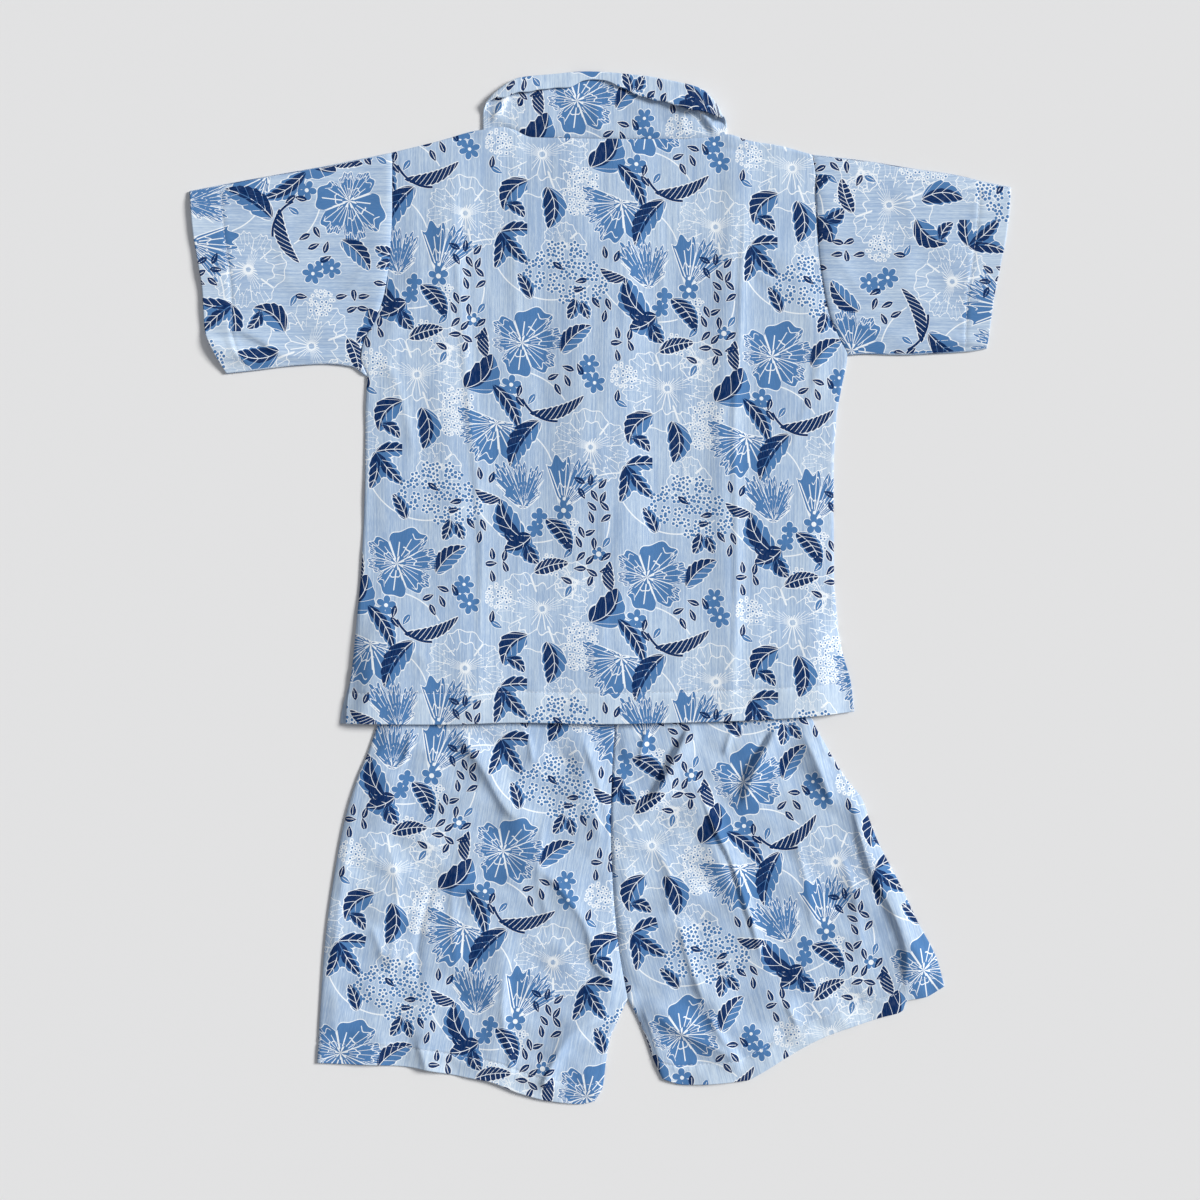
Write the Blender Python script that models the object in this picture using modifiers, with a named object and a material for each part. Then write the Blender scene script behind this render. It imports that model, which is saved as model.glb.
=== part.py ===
"""A child's summer co-ord set laid flat on its front: a short-sleeved shirt with an open collar,
its hem lying over the elastic waist of matching shorts.

+X is to the right and +Y towards the collar, seen from above on the garments' backs; +Z is up from
the surface they lie on. Sizes in the tables are millimetres and become metres in one place, skin().
Left and right are the wearer's, and the wearer's left is at -X.
"""

import math
from collections import namedtuple

import bpy
import numpy as np

MM = 0.001

# Cloth and layers
CLOTH = 1.0
SEAM_GAP = 0.3
LAP_GAP = 0.5
CENTRE_SEAM_GAP = 0.8
ARMHOLE_GAP = 0.5
LAYER = CLOTH + SEAM_GAP
PUFF = 1.0
PUFF_REACH = 0.06

# Front opening and its buttons, under the shirt
LAP_HALF = 12.0
LAP_SLOPE_END = 46.0
BUTTON_RADIUS = 5.5
BUTTON_THICK = 1.5
BUTTON_COUNT = 5
BUTTON_TOP_Y = 245.0
BUTTON_PITCH = 48.0
BUTTON_LIFT_END = 28.0

# Neck and collar
FRONT_NECK_Y = 285.0
COLLAR_ROLL = 0.9
COLLAR_PUFF = 1.6
LEAF_END_GAP = 1.0
COLLAR_SEAM_GAP = 0.8
LEAF_CROWDING = 1.6

# Waist of the shorts, under the shirt's hem
WAIST_TOP_Y = -50.0
WAIST_SEAM_Y = -76.0
WAIST_LEFT_X = -159.5
WAIST_RIGHT_X = 152.0
WAIST_WALL = 1.6
WAIST_INNER_GAP = 0.4
SHIRT_LIFT = 5.6
LIFT_START_Y = -2.0
LIFT_SIDE_SLOPE = 22.0
BACK_SPREAD = 1.4
SHORTS_CAP = 3.9
SHORTS_CAP_Y = -103.0
SHORTS_FREE_Y = -125.0

# The front's corner shows past the back's at the wearer's left vent
VENT_SHOW = 4.4
VENT_HEIGHT = 36.0

CLOTH_COLOUR = (0.62, 0.72, 0.87, 1.0)
BUTTON_COLOUR = (0.86, 0.87, 0.88, 1.0)
CLOTH_ROUGHNESS = 0.85
BUTTON_ROUGHNESS = 0.35

# How finely each piece is divided
GRAPH_STEPS = 400
BODY_ROWS_WAIST = 10
BODY_ROWS_CHEST = 5
BODY_ROWS_ARMHOLE = 9
WAIST_SHARE = 0.28
CHEST_SHARE = 0.35
BACK_COLUMNS = 35
SHOULDER_COLUMNS = 5
SCOOP_COLUMNS = 12
SLEEVE_RINGS = 10
TUBE_TURN_STEPS = 3
COLLAR_STEPS = 5
COLLAR_ROLL_STEPS = 4
COLLAR_RETURN_STEPS = 2
COLLAR_LEAF_COLUMNS = 9
COLLAR_BACK_COLUMNS = 23
COLLAR_FOLD_COLUMNS = 4
BUTTON_SEGMENTS = 16
WAIST_RINGS = 3
WAIST_COLUMNS = 9

Point = namedtuple("Point", "x y")
Fold = namedtuple("Fold", "x1 y1 x2 y2 bow width height lean")
Return = namedtuple("Return", "x length")
Layer = namedtuple("Layer", "name columns rows_below rows_above height")

# Outline of the shirt's body, from the hem up to the underarm and on round the armhole
BODY_LEFT = [
    Point(-189, -101), Point(-188.5, -89), Point(-184.5, -60), Point(-181, -24), Point(-177.3, 21),
    Point(-175, 80), Point(-174.6, 130), Point(-173.6, 157.5),
]
ARMHOLE_LEFT = [
    Point(-178, 171), Point(-175.8, 183), Point(-166.9, 200), Point(-160.2, 222), Point(-156.5, 250),
    Point(-155, 284), Point(-155, 324),
]
BODY_RIGHT = [
    Point(189, -92), Point(186.5, -70), Point(181, -50), Point(176.6, -24), Point(174.2, 10),
    Point(173.8, 80), Point(175.8, 125), Point(179.5, 148), Point(184, 173),
]
ARMHOLE_RIGHT = [
    Point(178, 186), Point(171, 204), Point(166.9, 224), Point(163.2, 250), Point(161.5, 275),
    Point(160.5, 305), Point(158, 322.5),
]
HEM = [
    Point(-189, -101), Point(-119, -101.5), Point(-60, -100), Point(0, -101), Point(60, -100),
    Point(119, -98), Point(158, -95.5), Point(189, -92),
]
NECK_LEFT = Point(-88, 341)
NECK_RIGHT = Point(95, 337.5)
BACK_TOP = [
    Point(-155, 324), Point(-124, 331.5), NECK_LEFT, Point(-71, 343), Point(-50, 335.5),
    Point(15, 334), Point(78, 335), NECK_RIGHT, Point(110, 333), Point(134, 329), Point(158, 322.5),
]
SCOOP_LEFT = [Point(-62, 312), Point(-32, 292), Point(-LAP_HALF, FRONT_NECK_Y)]
SCOOP_RIGHT = [Point(LAP_HALF, FRONT_NECK_Y), Point(34, 292), Point(67, 311)]

# Outline of the sleeves, each from the cuff towards the armhole
SLEEVE_LEFT_TOP = [
    Point(-305.5, 295.5), Point(-272, 302), Point(-238, 308.2), Point(-205, 314), Point(-155.5, 324),
]
SLEEVE_LEFT_BOTTOM = [
    Point(-278, 159.5), Point(-261, 161.3), Point(-227, 165.3), Point(-205, 166.5), Point(-185, 164.5),
    Point(-174.2, 157.5),
]
CUFF_LEFT = [
    Point(-278, 159.5), Point(-288.3, 177), Point(-294, 192), Point(-296, 222), Point(-299.5, 244),
    Point(-303.2, 266.5), Point(-305.5, 295.5),
]
SLEEVE_RIGHT_TOP = [
    Point(305.5, 298.5), Point(286.5, 302.3), Point(264.5, 307.5), Point(231, 312.5),
    Point(197.5, 318), Point(158.5, 322.5),
]
SLEEVE_RIGHT_BOTTOM = [
    Point(287.5, 178), Point(276, 176), Point(253, 174.5), Point(223.5, 173.3), Point(197.5, 174),
    Point(184.6, 173),
]
CUFF_RIGHT = [
    Point(287.5, 178), Point(289.8, 192), Point(292.8, 214.5), Point(297.3, 236.7), Point(301.7, 259),
    Point(304.5, 281), Point(305.5, 298.5),
]

# Outline of the collar, seen from above
COLLAR_TOP = [
    Point(-87.5, 351), Point(-85, 360.5), Point(-75, 371), Point(-60, 379.5), Point(-37, 382),
    Point(-10, 384.2), Point(30, 381.3), Point(52, 377.5), Point(74.5, 371.5), Point(85, 362),
    Point(91, 353), Point(94.6, 345),
]
LEAF_TOP = [
    Point(-87.5, 349), Point(-75, 364), Point(-58, 371), Point(-30, 366), Point(0, 342),
    Point(30, 365), Point(62, 366), Point(80, 358), Point(94.6, 343.5),
]
COLLAR_RETURNS = [
    Return(-87.5, 1), Return(-80, 2), Return(-68, 9.3), Return(-42, 10), Return(-22, 10),
    Return(-12, 6), Return(2, 5), Return(15, 9.5), Return(26, 14), Return(45, 16.4), Return(58, 17.4),
    Return(74, 16), Return(86, 9), Return(94.6, 2),
]

# Outline of the shorts, each leg from its hem up to the waist seam
LEG_LEFT_OUT = [
    Point(-210.5, -353.5), Point(-208, -310), Point(-204.5, -262), Point(-196, -203), Point(-190, -173),
    Point(-181, -143), Point(-171, -118), Point(-165.5, -100), Point(-160.5, -76.3),
]
CENTRE_SEAM = [
    Point(20.6, -306), Point(13.2, -262), Point(9.5, -218), Point(8, -173), Point(9.5, -128),
    Point(11, -100), Point(9, -76.3),
]
LEG_LEFT_IN = [
    Point(-4, -382), Point(2, -371), Point(4.5, -352), Point(7, -337), Point(13, -322), CENTRE_SEAM[0],
]
LEG_LEFT_HEM = [
    Point(-210.5, -353.5), Point(-149, -356), Point(-104, -363.5), Point(-82, -367.5), Point(-60, -376),
    Point(-37, -382), Point(-15, -384.2), Point(-4, -382),
]
CENTRE_SEAM_RIGHT = [Point(p.x + CENTRE_SEAM_GAP, p.y) for p in CENTRE_SEAM]
LEG_RIGHT_IN = [
    Point(46.5, -365.5), Point(40.2, -352), Point(35, -337), Point(29, -322), CENTRE_SEAM_RIGHT[0],
]
LEG_RIGHT_OUT = [
    Point(256.3, -296.5), Point(251, -277), Point(236, -247.5), Point(222, -218), Point(206.5, -188),
    Point(200, -171), Point(195, -157), Point(184, -143), Point(166, -113.5), Point(159, -100),
    Point(153, -76.3),
]
LEG_RIGHT_HEM = [
    Point(46.5, -365.5), Point(63, -369.8), Point(108, -366.8), Point(119, -361.5), Point(142, -347.5),
    Point(164, -335.5), Point(208, -320), Point(225, -314.5), Point(228, -307.5), Point(242, -304.5),
    Point(256.3, -296.5),
]

# The largest folds: a ridge from (x1, y1) to (x2, y2), bowed to one side. Width is from the ridge to
# where it has mostly died away, and lean stretches its left side, seen from its first point.
SHIRT_FOLDS = [
    Fold(-112, 318, -92, -101, 12, 12, 1.6, 1.3),
    Fold(106, 335, 98, -99, 9, 11, 2.0, 0.8),
    Fold(-30, 336, -64, 130, 5, 16, 0.8, 1.0),
    Fold(172, 178, 118, 262, 6, 12, 1.2, 1.0),
    Fold(-176, 168, -132, 240, 4, 12, 1.0, 1.0),
]
SLEEVE_FOLDS = [
    Fold(-296, 186, -196, 168, 10, 9, 2.2, 0.6),
    Fold(-158, 300, -166, 190, 4, 9, 1.0, 1.0),
    Fold(292, 182, 220, 176, -6, 8, 2.0, 0.8),
    Fold(166, 300, 172, 196, -4, 9, 1.0, 1.0),
]
SHORTS_FOLDS = [
    Fold(-118, -74, -52, -182, 4, 11, 2.6, 0.8),
    Fold(-22, -74, 4, -190, 3, 9, 2.6, 0.8),
    Fold(-62, -196, 18, -304, -8, 10, 2.4, 1.0),
    Fold(-150, -74, -168, -190, -4, 12, 1.8, 1.0),
    Fold(-70, -262, -72, -374, 5, 9, 2.0, 0.8),
    Fold(4, -318, -42, -372, 10, 9, 2.8, 0.7),
    Fold(-134, -322, -124, -366, 0, 9, 2.0, 1.0),
    Fold(72, -86, 30, -172, -4, 9, 3.0, 0.6),
    Fold(130, -84, 106, -160, -3, 9, 2.6, 0.7),
    Fold(66, -134, 126, -292, 3, 9, 2.6, 0.7),
    Fold(34, -312, 104, -360, -6, 9, 2.6, 0.8),
    Fold(58, -244, 96, -330, 3, 10, 1.8, 1.0),
    Fold(146, -84, 180, -172, 3, 8, 2.2, 1.0),
    Fold(188, -152, 240, -306, -8, 11, 3.2, 1.6),
    Fold(138, -306, 150, -338, 0, 9, 1.6, 1.0),
]


def clear_scene():
    for thing in list(bpy.data.objects):
        bpy.data.objects.remove(thing, do_unlink=True)


def ease(share):
    """0 below 0, 1 above 1 and a smooth step between."""
    share = np.clip(share, 0.0, 1.0)
    return share * share * (3.0 - 2.0 * share)


def through(stations, values, at):
    """A smooth curve through a table that never overshoots between two rows."""
    stations, values = np.asarray(stations, float), np.asarray(values, float)
    step = np.diff(stations)
    slope = np.diff(values) / step
    tangent = np.zeros(len(values))
    turns = slope[1:] * slope[:-1] <= 0.0
    total = np.where(turns, 1.0, slope[1:] + slope[:-1])
    tangent[1:-1] = np.where(turns, 0.0, 2.0 * slope[1:] * slope[:-1] / total)
    tangent[0], tangent[-1] = slope[0], slope[-1]
    k = np.clip(np.searchsorted(stations, at, side="right") - 1, 0, len(step) - 1)
    t = (np.asarray(at, float) - stations[k]) / step[k]
    rise = tangent[k] * step[k] * t * (1.0 - t) ** 2 - tangent[k + 1] * step[k] * t * t * (1.0 - t)
    return values[k] * (1.0 + 2.0 * t) * (1.0 - t) ** 2 + values[k + 1] * t * t * (3.0 - 2.0 * t) + rise


def side(table):
    """A function from a share of the outline's length to its point."""
    x, y = np.array([p.x for p in table]), np.array([p.y for p in table])
    along = np.concatenate([[0.0], np.cumsum(np.hypot(np.diff(x), np.diff(y)))])
    along /= along[-1]
    return lambda share: np.stack([through(along, x, share), through(along, y, share)], axis=-1)


def graph(curve):
    """A curve that never turns back in x, as a function from x to y."""
    points = curve(np.linspace(0.0, 1.0, GRAPH_STEPS))
    return lambda x: np.interp(x, points[:, 0], points[:, 1])


def share_of(table, count):
    """The share of an outline's length that its first rows take."""
    steps = [math.dist(a, b) for a, b in zip(table, table[1:])]
    return sum(steps[: count - 1]) / sum(steps)


def joined(first, second):
    """Two outlines end to end with a corner where they meet, and the share at that corner."""
    corner = share_of(first + second[1:], len(first))
    low, high = side(first), side(second)

    def at(share):
        share = np.asarray(share, float)
        before = low(np.minimum(share / corner, 1.0))
        after = high(np.maximum(share - corner, 0.0) / (1.0 - corner))
        return np.where((share < corner)[..., None], before, after)

    return at, corner


def panel(bottom, top, left, right):
    """A function from two shares, across and up, to a point between four sides."""

    def at(u, v):
        u, v = np.asarray(u, float), np.asarray(v, float)
        uu, vv = u[..., None], v[..., None]
        edges = (1 - vv) * bottom(u) + vv * top(u) + (1 - uu) * left(v) + uu * right(v)
        low = (1 - uu) * bottom(0.0) + uu * bottom(1.0)
        high = (1 - uu) * top(0.0) + uu * top(1.0)
        return edges - (1 - vv) * low - vv * high

    return at


def fold_heights(x, y, folds):
    """The height that a table of folds adds at each point."""
    total = np.zeros_like(x)
    for f in folds:
        run = math.hypot(f.x2 - f.x1, f.y2 - f.y1)
        along = ((x - f.x1) * (f.x2 - f.x1) + (y - f.y1) * (f.y2 - f.y1)) / run**2
        held = np.clip(along, 0.0, 1.0)
        aside = ((x - f.x1) * (f.y2 - f.y1) - (y - f.y1) * (f.x2 - f.x1)) / run
        aside = aside - f.bow * 4.0 * held * (1.0 - held)
        width = np.where(aside < 0.0, f.width * f.lean, f.width)
        fade = ease((along + 0.12) / 0.24) * ease((1.12 - along) / 0.3)
        total += f.height * fade * np.exp(-((aside / width) ** 2))
    return total


def puff(u, v):
    """Cloth that lies loose stands a little higher away from its sewn edges."""
    inside = np.minimum(np.minimum(u, 1.0 - u), np.minimum(v, 1.0 - v))
    return PUFF * ease(inside / PUFF_REACH)


def waist_lift(x, y, spread=1.1):
    """How high the shirt lies where the waist of the shorts is under it. spread is how far past it."""
    left = np.interp(y, [-101.0, WAIST_SEAM_Y], [LEG_LEFT_OUT[7].x, WAIST_LEFT_X])
    right = np.interp(y, [-101.0, WAIST_SEAM_Y], [LEG_RIGHT_OUT[9].x, WAIST_RIGHT_X])
    up = ease((LIFT_START_Y - y) / (LIFT_START_Y - WAIST_TOP_Y - 2.0))
    inward = ease((x - left) / LIFT_SIDE_SLOPE + spread) * ease((right - x) / LIFT_SIDE_SLOPE + spread)
    return SHIRT_LIFT * up * inward


def button_lift(x, y):
    """How high the row of buttons holds the front opening."""
    across = ease((LAP_SLOPE_END - np.abs(x)) / (LAP_SLOPE_END - LAP_HALF - 2.0))
    last = BUTTON_TOP_Y - (BUTTON_COUNT - 1) * BUTTON_PITCH
    up = ease((y - last + BUTTON_LIFT_END + 10.0) / BUTTON_LIFT_END)
    down = ease((BUTTON_TOP_Y + BUTTON_LIFT_END + 10.0 - y) / BUTTON_LIFT_END)
    return (BUTTON_THICK + SEAM_GAP) * across * up * down


def left_front_height(x, y):
    return waist_lift(x, y) + button_lift(x, y)


def lap_step(x):
    return (CLOTH + LAP_GAP) * ease((LAP_SLOPE_END - x) / (LAP_SLOPE_END - LAP_HALF - 2.0))


def right_front_height(x, y):
    return left_front_height(x, y) + lap_step(x)


def shirt_back_height(x, y):
    lap = lap_step(x) * ease((x + LAP_SLOPE_END) / (LAP_SLOPE_END - LAP_HALF - 2.0))
    return waist_lift(x, y, BACK_SPREAD) + button_lift(x, y) + lap + LAYER


def shorts_back_height(x, y, u, v):
    """The upper layer of the shorts: loose folds, kept low where the shirt lies on them."""
    seam = ease((y - WAIST_SEAM_Y + 30.0) / 26.0) * (WAIST_WALL + WAIST_INNER_GAP - LAYER)
    seams = ease(np.minimum(u, 1.0 - u) / PUFF_REACH)
    raised = puff(u, v) + seam + seams * fold_heights(x, y, SHORTS_FOLDS)
    cap = SHORTS_CAP - LAYER + 6.0 * ease((SHORTS_CAP_Y - y) / (SHORTS_CAP_Y - SHORTS_FREE_Y))
    return LAYER + cap * np.tanh(raised / cap)


def skin(name, sections, wall, material, closed=False, offset=0.0):
    """A sheet through sections of points, given a wall. Closed sections make a tube."""
    count = len(sections[0])
    points = [tuple(p * MM) for section in sections for p in section]
    turns = count if closed else count - 1
    faces = []
    for i in range(len(sections) - 1):
        for j in range(turns):
            k = (j + 1) % count
            low, high = i * count, (i + 1) * count
            faces.append((low + j, low + k, high + k, high + j))
    mesh = bpy.data.meshes.new(name)
    mesh.from_pydata(points, [], faces)
    mesh.materials.append(material)
    thing = bpy.data.objects.new(name, mesh)
    garment.objects.link(thing)
    solid = thing.modifiers.new("wall", "SOLIDIFY")
    solid.thickness = wall * MM
    solid.offset = offset
    mesh.shade_smooth()
    return thing


def lay_panel(name, patch, across, up, height, material, shift=None):
    """A panel whose underside follows a height above the table."""
    u, v = np.meshgrid(across, up)
    flat = patch(u, v)
    x, y = flat[..., 0], flat[..., 1]
    if shift is not None:
        x = x + shift(x, y, u)
    z = height(x, y, u, v)
    return skin(name, np.stack([x, y, z], axis=-1), CLOTH, material, offset=1.0)


def lay_tube(name, patch, along, across, low, high, wall, material):
    """A flattened tube: its upper layer, a fold, its lower layer and the other fold make each ring."""
    sections = []
    for a in along:
        ends = patch(np.array([a, a]), np.array([0.0, 1.0]))
        width = np.linalg.norm(ends[1] - ends[0])
        rise = high(ends[:, 0], ends[:, 1], a, np.array([0.0, 1.0]))
        radius = (rise - low) / 2.0
        inset = (radius + wall / 2.0) / width
        reach = radius / width
        over = inset[0] + across * (1.0 - inset[0] - inset[1])
        turn = np.pi * np.arange(1, TUBE_TURN_STEPS + 1) / (TUBE_TURN_STEPS + 1)
        v = np.concatenate([over, 1 - inset[1] + reach[1] * np.sin(turn), over[::-1],
                            inset[0] - reach[0] * np.sin(turn)])
        level = np.concatenate([np.ones_like(over), (1 + np.cos(turn)) / 2, np.zeros_like(over),
                                (1 - np.cos(turn)) / 2])
        flat = patch(np.full_like(v, a), v)
        x, y = flat[:, 0], flat[:, 1]
        z = low + level * (high(x, y, a, v) - low)
        sections.append(np.stack([x, y, z], axis=-1))
    return skin(name, sections, wall, material, closed=True)


def make_material(name, colour, roughness):
    material = bpy.data.materials.new(name)
    material.use_nodes = True
    shader = material.node_tree.nodes["Principled BSDF"]
    shader.inputs["Base Color"].default_value = colour
    shader.inputs["Roughness"].default_value = roughness
    shader.inputs["Metallic"].default_value = 0.0
    material.diffuse_color = colour
    return material


def shirt_rows():
    """Shares up the body: close over the waist's slope, and the underarm on a row of its own."""
    underarm = share_of(BODY_LEFT + ARMHOLE_LEFT, len(BODY_LEFT))
    waist = np.linspace(0.0, WAIST_SHARE, BODY_ROWS_WAIST)
    chest = np.linspace(CHEST_SHARE, underarm, BODY_ROWS_CHEST)
    return np.concatenate([waist, chest, np.linspace(underarm, 1.0, BODY_ROWS_ARMHOLE)[1:]])


def front_top_left():
    return BACK_TOP[:3] + SCOOP_LEFT + SCOOP_RIGHT[:1]


def front_top_right():
    return SCOOP_LEFT[-1:] + SCOOP_RIGHT + BACK_TOP[7:]


def make_shirt_body(cloth):
    left, right = side(BODY_LEFT + ARMHOLE_LEFT), side(BODY_RIGHT + ARMHOLE_RIGHT)
    rows = shirt_rows()
    columns = np.linspace(0.0, 1.0, BACK_COLUMNS)

    back = panel(side(HEM), side(BACK_TOP), left, right)
    lay_panel("shirt_back", back, columns, rows,
              lambda x, y, u, v: shirt_back_height(x, y) + puff(u, v) + fold_heights(x, y, SHIRT_FOLDS),
              cloth)

    def vent(x, y, u):
        return -VENT_SHOW * ease(1.0 - (y - HEM[0].y) / VENT_HEIGHT) * (1.0 - u) ** 3

    front_bottom = HEM[3].y
    edge = side([Point(LAP_HALF, front_bottom), Point(LAP_HALF, FRONT_NECK_Y)])
    hem = side(HEM[:3] + [Point(LAP_HALF, front_bottom)])
    top, neck = side(front_top_left()), share_of(front_top_left(), len(front_top_left()) - 4)
    shoulder = np.linspace(0.0, neck, SHOULDER_COLUMNS)
    columns = np.concatenate([shoulder, np.linspace(neck, 1.0, SCOOP_COLUMNS)[1:]])
    lay_panel("shirt_front_left", panel(hem, top, left, edge), columns, rows,
              lambda x, y, u, v: left_front_height(x, y), cloth, shift=vent)

    edge = side([Point(-LAP_HALF, front_bottom), Point(-LAP_HALF, FRONT_NECK_Y)])
    hem = side([Point(-LAP_HALF, front_bottom)] + HEM[4:])
    top, neck = side(front_top_right()), share_of(front_top_right(), len(front_top_right()) - 3)
    scoop = np.linspace(0.0, neck, SCOOP_COLUMNS)
    columns = np.concatenate([scoop, np.linspace(neck, 1.0, SHOULDER_COLUMNS)[1:]])
    lay_panel("shirt_front_right", panel(hem, top, edge, right), columns, rows,
              lambda x, y, u, v: right_front_height(x, y), cloth)


def make_sleeve(name, top, bottom, cuff, body_table, body_rows, sign, cloth):
    """A sleeve from its cuff to 0.5 mm short of the armhole, whose rows it shares."""
    start = share_of(body_table, body_rows)
    body_edge = side(body_table)

    def armhole(share):
        return body_edge(start + (1.0 - start) * np.asarray(share)) + np.array([sign * ARMHOLE_GAP, 0.0])

    def high(x, y, a, v):
        loose = puff(np.full_like(v, 0.5), v) * 0.8
        folds = fold_heights(x, y, SLEEVE_FOLDS) * ease(np.minimum(v, 1 - v) / 0.08)
        return CLOTH / 2 + LAYER + loose + folds

    rows = shirt_rows()
    across = (rows[rows >= start - 1e-6] - start) / (1.0 - start)
    # The patch runs up the cuff, so its sides are the lower and upper outlines.
    patch = panel(cuff, armhole, side(bottom), side(top))
    lay_tube(name, lambda a, v: patch(v, a), np.linspace(0.0, 1.0, SLEEVE_RINGS), across,
             CLOTH / 2, high, CLOTH, cloth)


def make_sleeves(cloth):
    make_sleeve("sleeve_left", SLEEVE_LEFT_TOP, SLEEVE_LEFT_BOTTOM, side(CUFF_LEFT),
                BODY_LEFT + ARMHOLE_LEFT, len(BODY_LEFT), -1.0, cloth)
    make_sleeve("sleeve_right", SLEEVE_RIGHT_TOP, SLEEVE_RIGHT_BOTTOM, side(CUFF_RIGHT),
                BODY_RIGHT + ARMHOLE_RIGHT, len(BODY_RIGHT), 1.0, cloth)


def collar_column(x, seam_y, edge_y, level, roll, back):
    """One line of the collar from its seam to its edge. roll is 1 where the edge turns fully back."""
    arc = math.pi * COLLAR_ROLL
    back_run = float(through([r.x for r in COLLAR_RETURNS], [r.length for r in COLLAR_RETURNS], x))
    rolled_height = edge_y - CLOTH / 2 - COLLAR_ROLL - seam_y
    flat_height = edge_y - seam_y - arc - back_run
    height = roll * rolled_height + (1.0 - roll) * flat_height
    runs = ((height, COLLAR_STEPS), (arc, COLLAR_ROLL_STEPS), (back_run, COLLAR_RETURN_STEPS))
    steps = np.concatenate([np.full(count, run / count) for run, count in runs])
    rolled = (np.arange(COLLAR_ROLL_STEPS) + 0.5) / COLLAR_ROLL_STEPS
    turns = math.pi * roll * np.concatenate([np.zeros(COLLAR_STEPS), rolled, np.ones(COLLAR_RETURN_STEPS)])
    y = seam_y + np.concatenate([[0.0], np.cumsum(steps * np.cos(turns))])
    z = level + np.concatenate([[0.0], np.cumsum(steps * np.sin(turns))])
    z += back * COLLAR_PUFF * np.sin(np.pi * np.clip((y - seam_y) / max(edge_y - seam_y, 1.0), 0, 1))
    return np.stack([np.full_like(y, x), y, z], axis=-1)


def make_collar(cloth):
    """A band round the neck: a front leaf below at each side, the back of the collar above them."""
    low, high = CLOTH / 2, CLOTH / 2 + LAYER
    radius = LAYER / 2
    left_x, right_x = COLLAR_TOP[0].x + CLOTH / 2 + radius, COLLAR_TOP[-1].x - CLOTH / 2 - radius
    back_seam = graph(side(BACK_TOP))
    left_seam, right_seam = graph(side(front_top_left())), graph(side(front_top_right()))
    back_edge, leaf_edge = graph(side(COLLAR_TOP)), graph(side(LEAF_TOP))

    def seam(x, level_share):
        front_seam = left_seam if x < 0 else right_seam
        slope = abs(front_seam(x + 0.5) - front_seam(x - 0.5)) * (1.0 - level_share)
        on_front = front_seam(x)
        return on_front + level_share * (back_seam(x) - on_front) + COLLAR_SEAM_GAP * (1.0 + 2.2 * slope)

    def edge(x, level_share):
        return leaf_edge(x) + level_share * (back_edge(x) - leaf_edge(x))

    near = 1.0 - (1.0 - np.linspace(0.0, 1.0, COLLAR_LEAF_COLUMNS)[:-1]) ** LEAF_CROWDING
    stops = []
    for x in -LEAF_END_GAP + near * (left_x + LEAF_END_GAP):
        stops.append((x, 0.0))
    for angle in np.linspace(0.0, math.pi, COLLAR_FOLD_COLUMNS):
        stops.append((left_x - radius * math.sin(angle), (1 - math.cos(angle)) / 2))
    for x in np.linspace(left_x, right_x, COLLAR_BACK_COLUMNS)[1:-1]:
        stops.append((x, 1.0))
    for angle in np.linspace(0.0, math.pi, COLLAR_FOLD_COLUMNS):
        stops.append((right_x + radius * math.sin(angle), (1 + math.cos(angle)) / 2))
    for x in LEAF_END_GAP + near[::-1] * (right_x - LEAF_END_GAP):
        stops.append((x, 0.0))
    sections = []
    for x, share in stops:
        inside = min(x - left_x, right_x - x)
        back = share * float(ease(inside / 12.0))
        roll = float(ease((inside + 2.0) / 8.0)) if share == 1.0 else 0.0
        level = low + share * (high - low)
        sections.append(collar_column(x, seam(x, share), edge(x, share), level, roll, back))
    return skin("collar", sections, CLOTH, cloth)


def make_buttons(material):
    """A row of dished buttons between the table and the front opening, rim down."""
    rim, edge, dish = 1.0, 0.35, 0.4
    face = BUTTON_RADIUS - edge
    profile = [(0.0, BUTTON_THICK), (face, BUTTON_THICK), (BUTTON_RADIUS, BUTTON_THICK - edge),
               (BUTTON_RADIUS, edge), (face, 0.0), (face - rim, 0.0), (face - rim - dish, dish),
               (0.0, dish)]
    mesh = bpy.data.meshes.new("button")
    points = [(r * MM, 0.0, z * MM) for r, z in profile]
    mesh.from_pydata(points, [(i, i + 1) for i in range(len(points) - 1)], [])
    mesh.materials.append(material)
    for k in range(BUTTON_COUNT):
        button = bpy.data.objects.new(f"button_{k + 1}", mesh)
        garment.objects.link(button)
        button.location = (0.0, (BUTTON_TOP_Y - k * BUTTON_PITCH) * MM, 0.0)
        turn = button.modifiers.new("turn", "SCREW")
        turn.steps = turn.render_steps = BUTTON_SEGMENTS
        turn.use_merge_vertices = True
        turn.merge_threshold = 0.00005
        turn.use_smooth_shade = True


def make_waistband(material):
    """The elastic casing, a flat tube that the legs are sewn to."""
    bottom = side([Point(WAIST_LEFT_X, WAIST_SEAM_Y), Point(WAIST_RIGHT_X, WAIST_SEAM_Y)])
    top = side([Point(WAIST_LEFT_X, WAIST_TOP_Y), Point(WAIST_RIGHT_X, WAIST_TOP_Y)])
    left = side([Point(WAIST_LEFT_X, WAIST_SEAM_Y), Point(WAIST_LEFT_X, WAIST_TOP_Y)])
    right = side([Point(WAIST_RIGHT_X, WAIST_SEAM_Y), Point(WAIST_RIGHT_X, WAIST_TOP_Y)])
    patch = panel(bottom, top, left, right)
    low = WAIST_WALL / 2
    high = low + WAIST_WALL + WAIST_INNER_GAP
    lay_tube("waistband", lambda a, v: patch(v, a), np.linspace(0.0, 1.0, WAIST_RINGS),
             np.linspace(0.0, 1.0, WAIST_COLUMNS), low, lambda x, y, a, v: np.full_like(x, high),
             WAIST_WALL, material)


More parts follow.
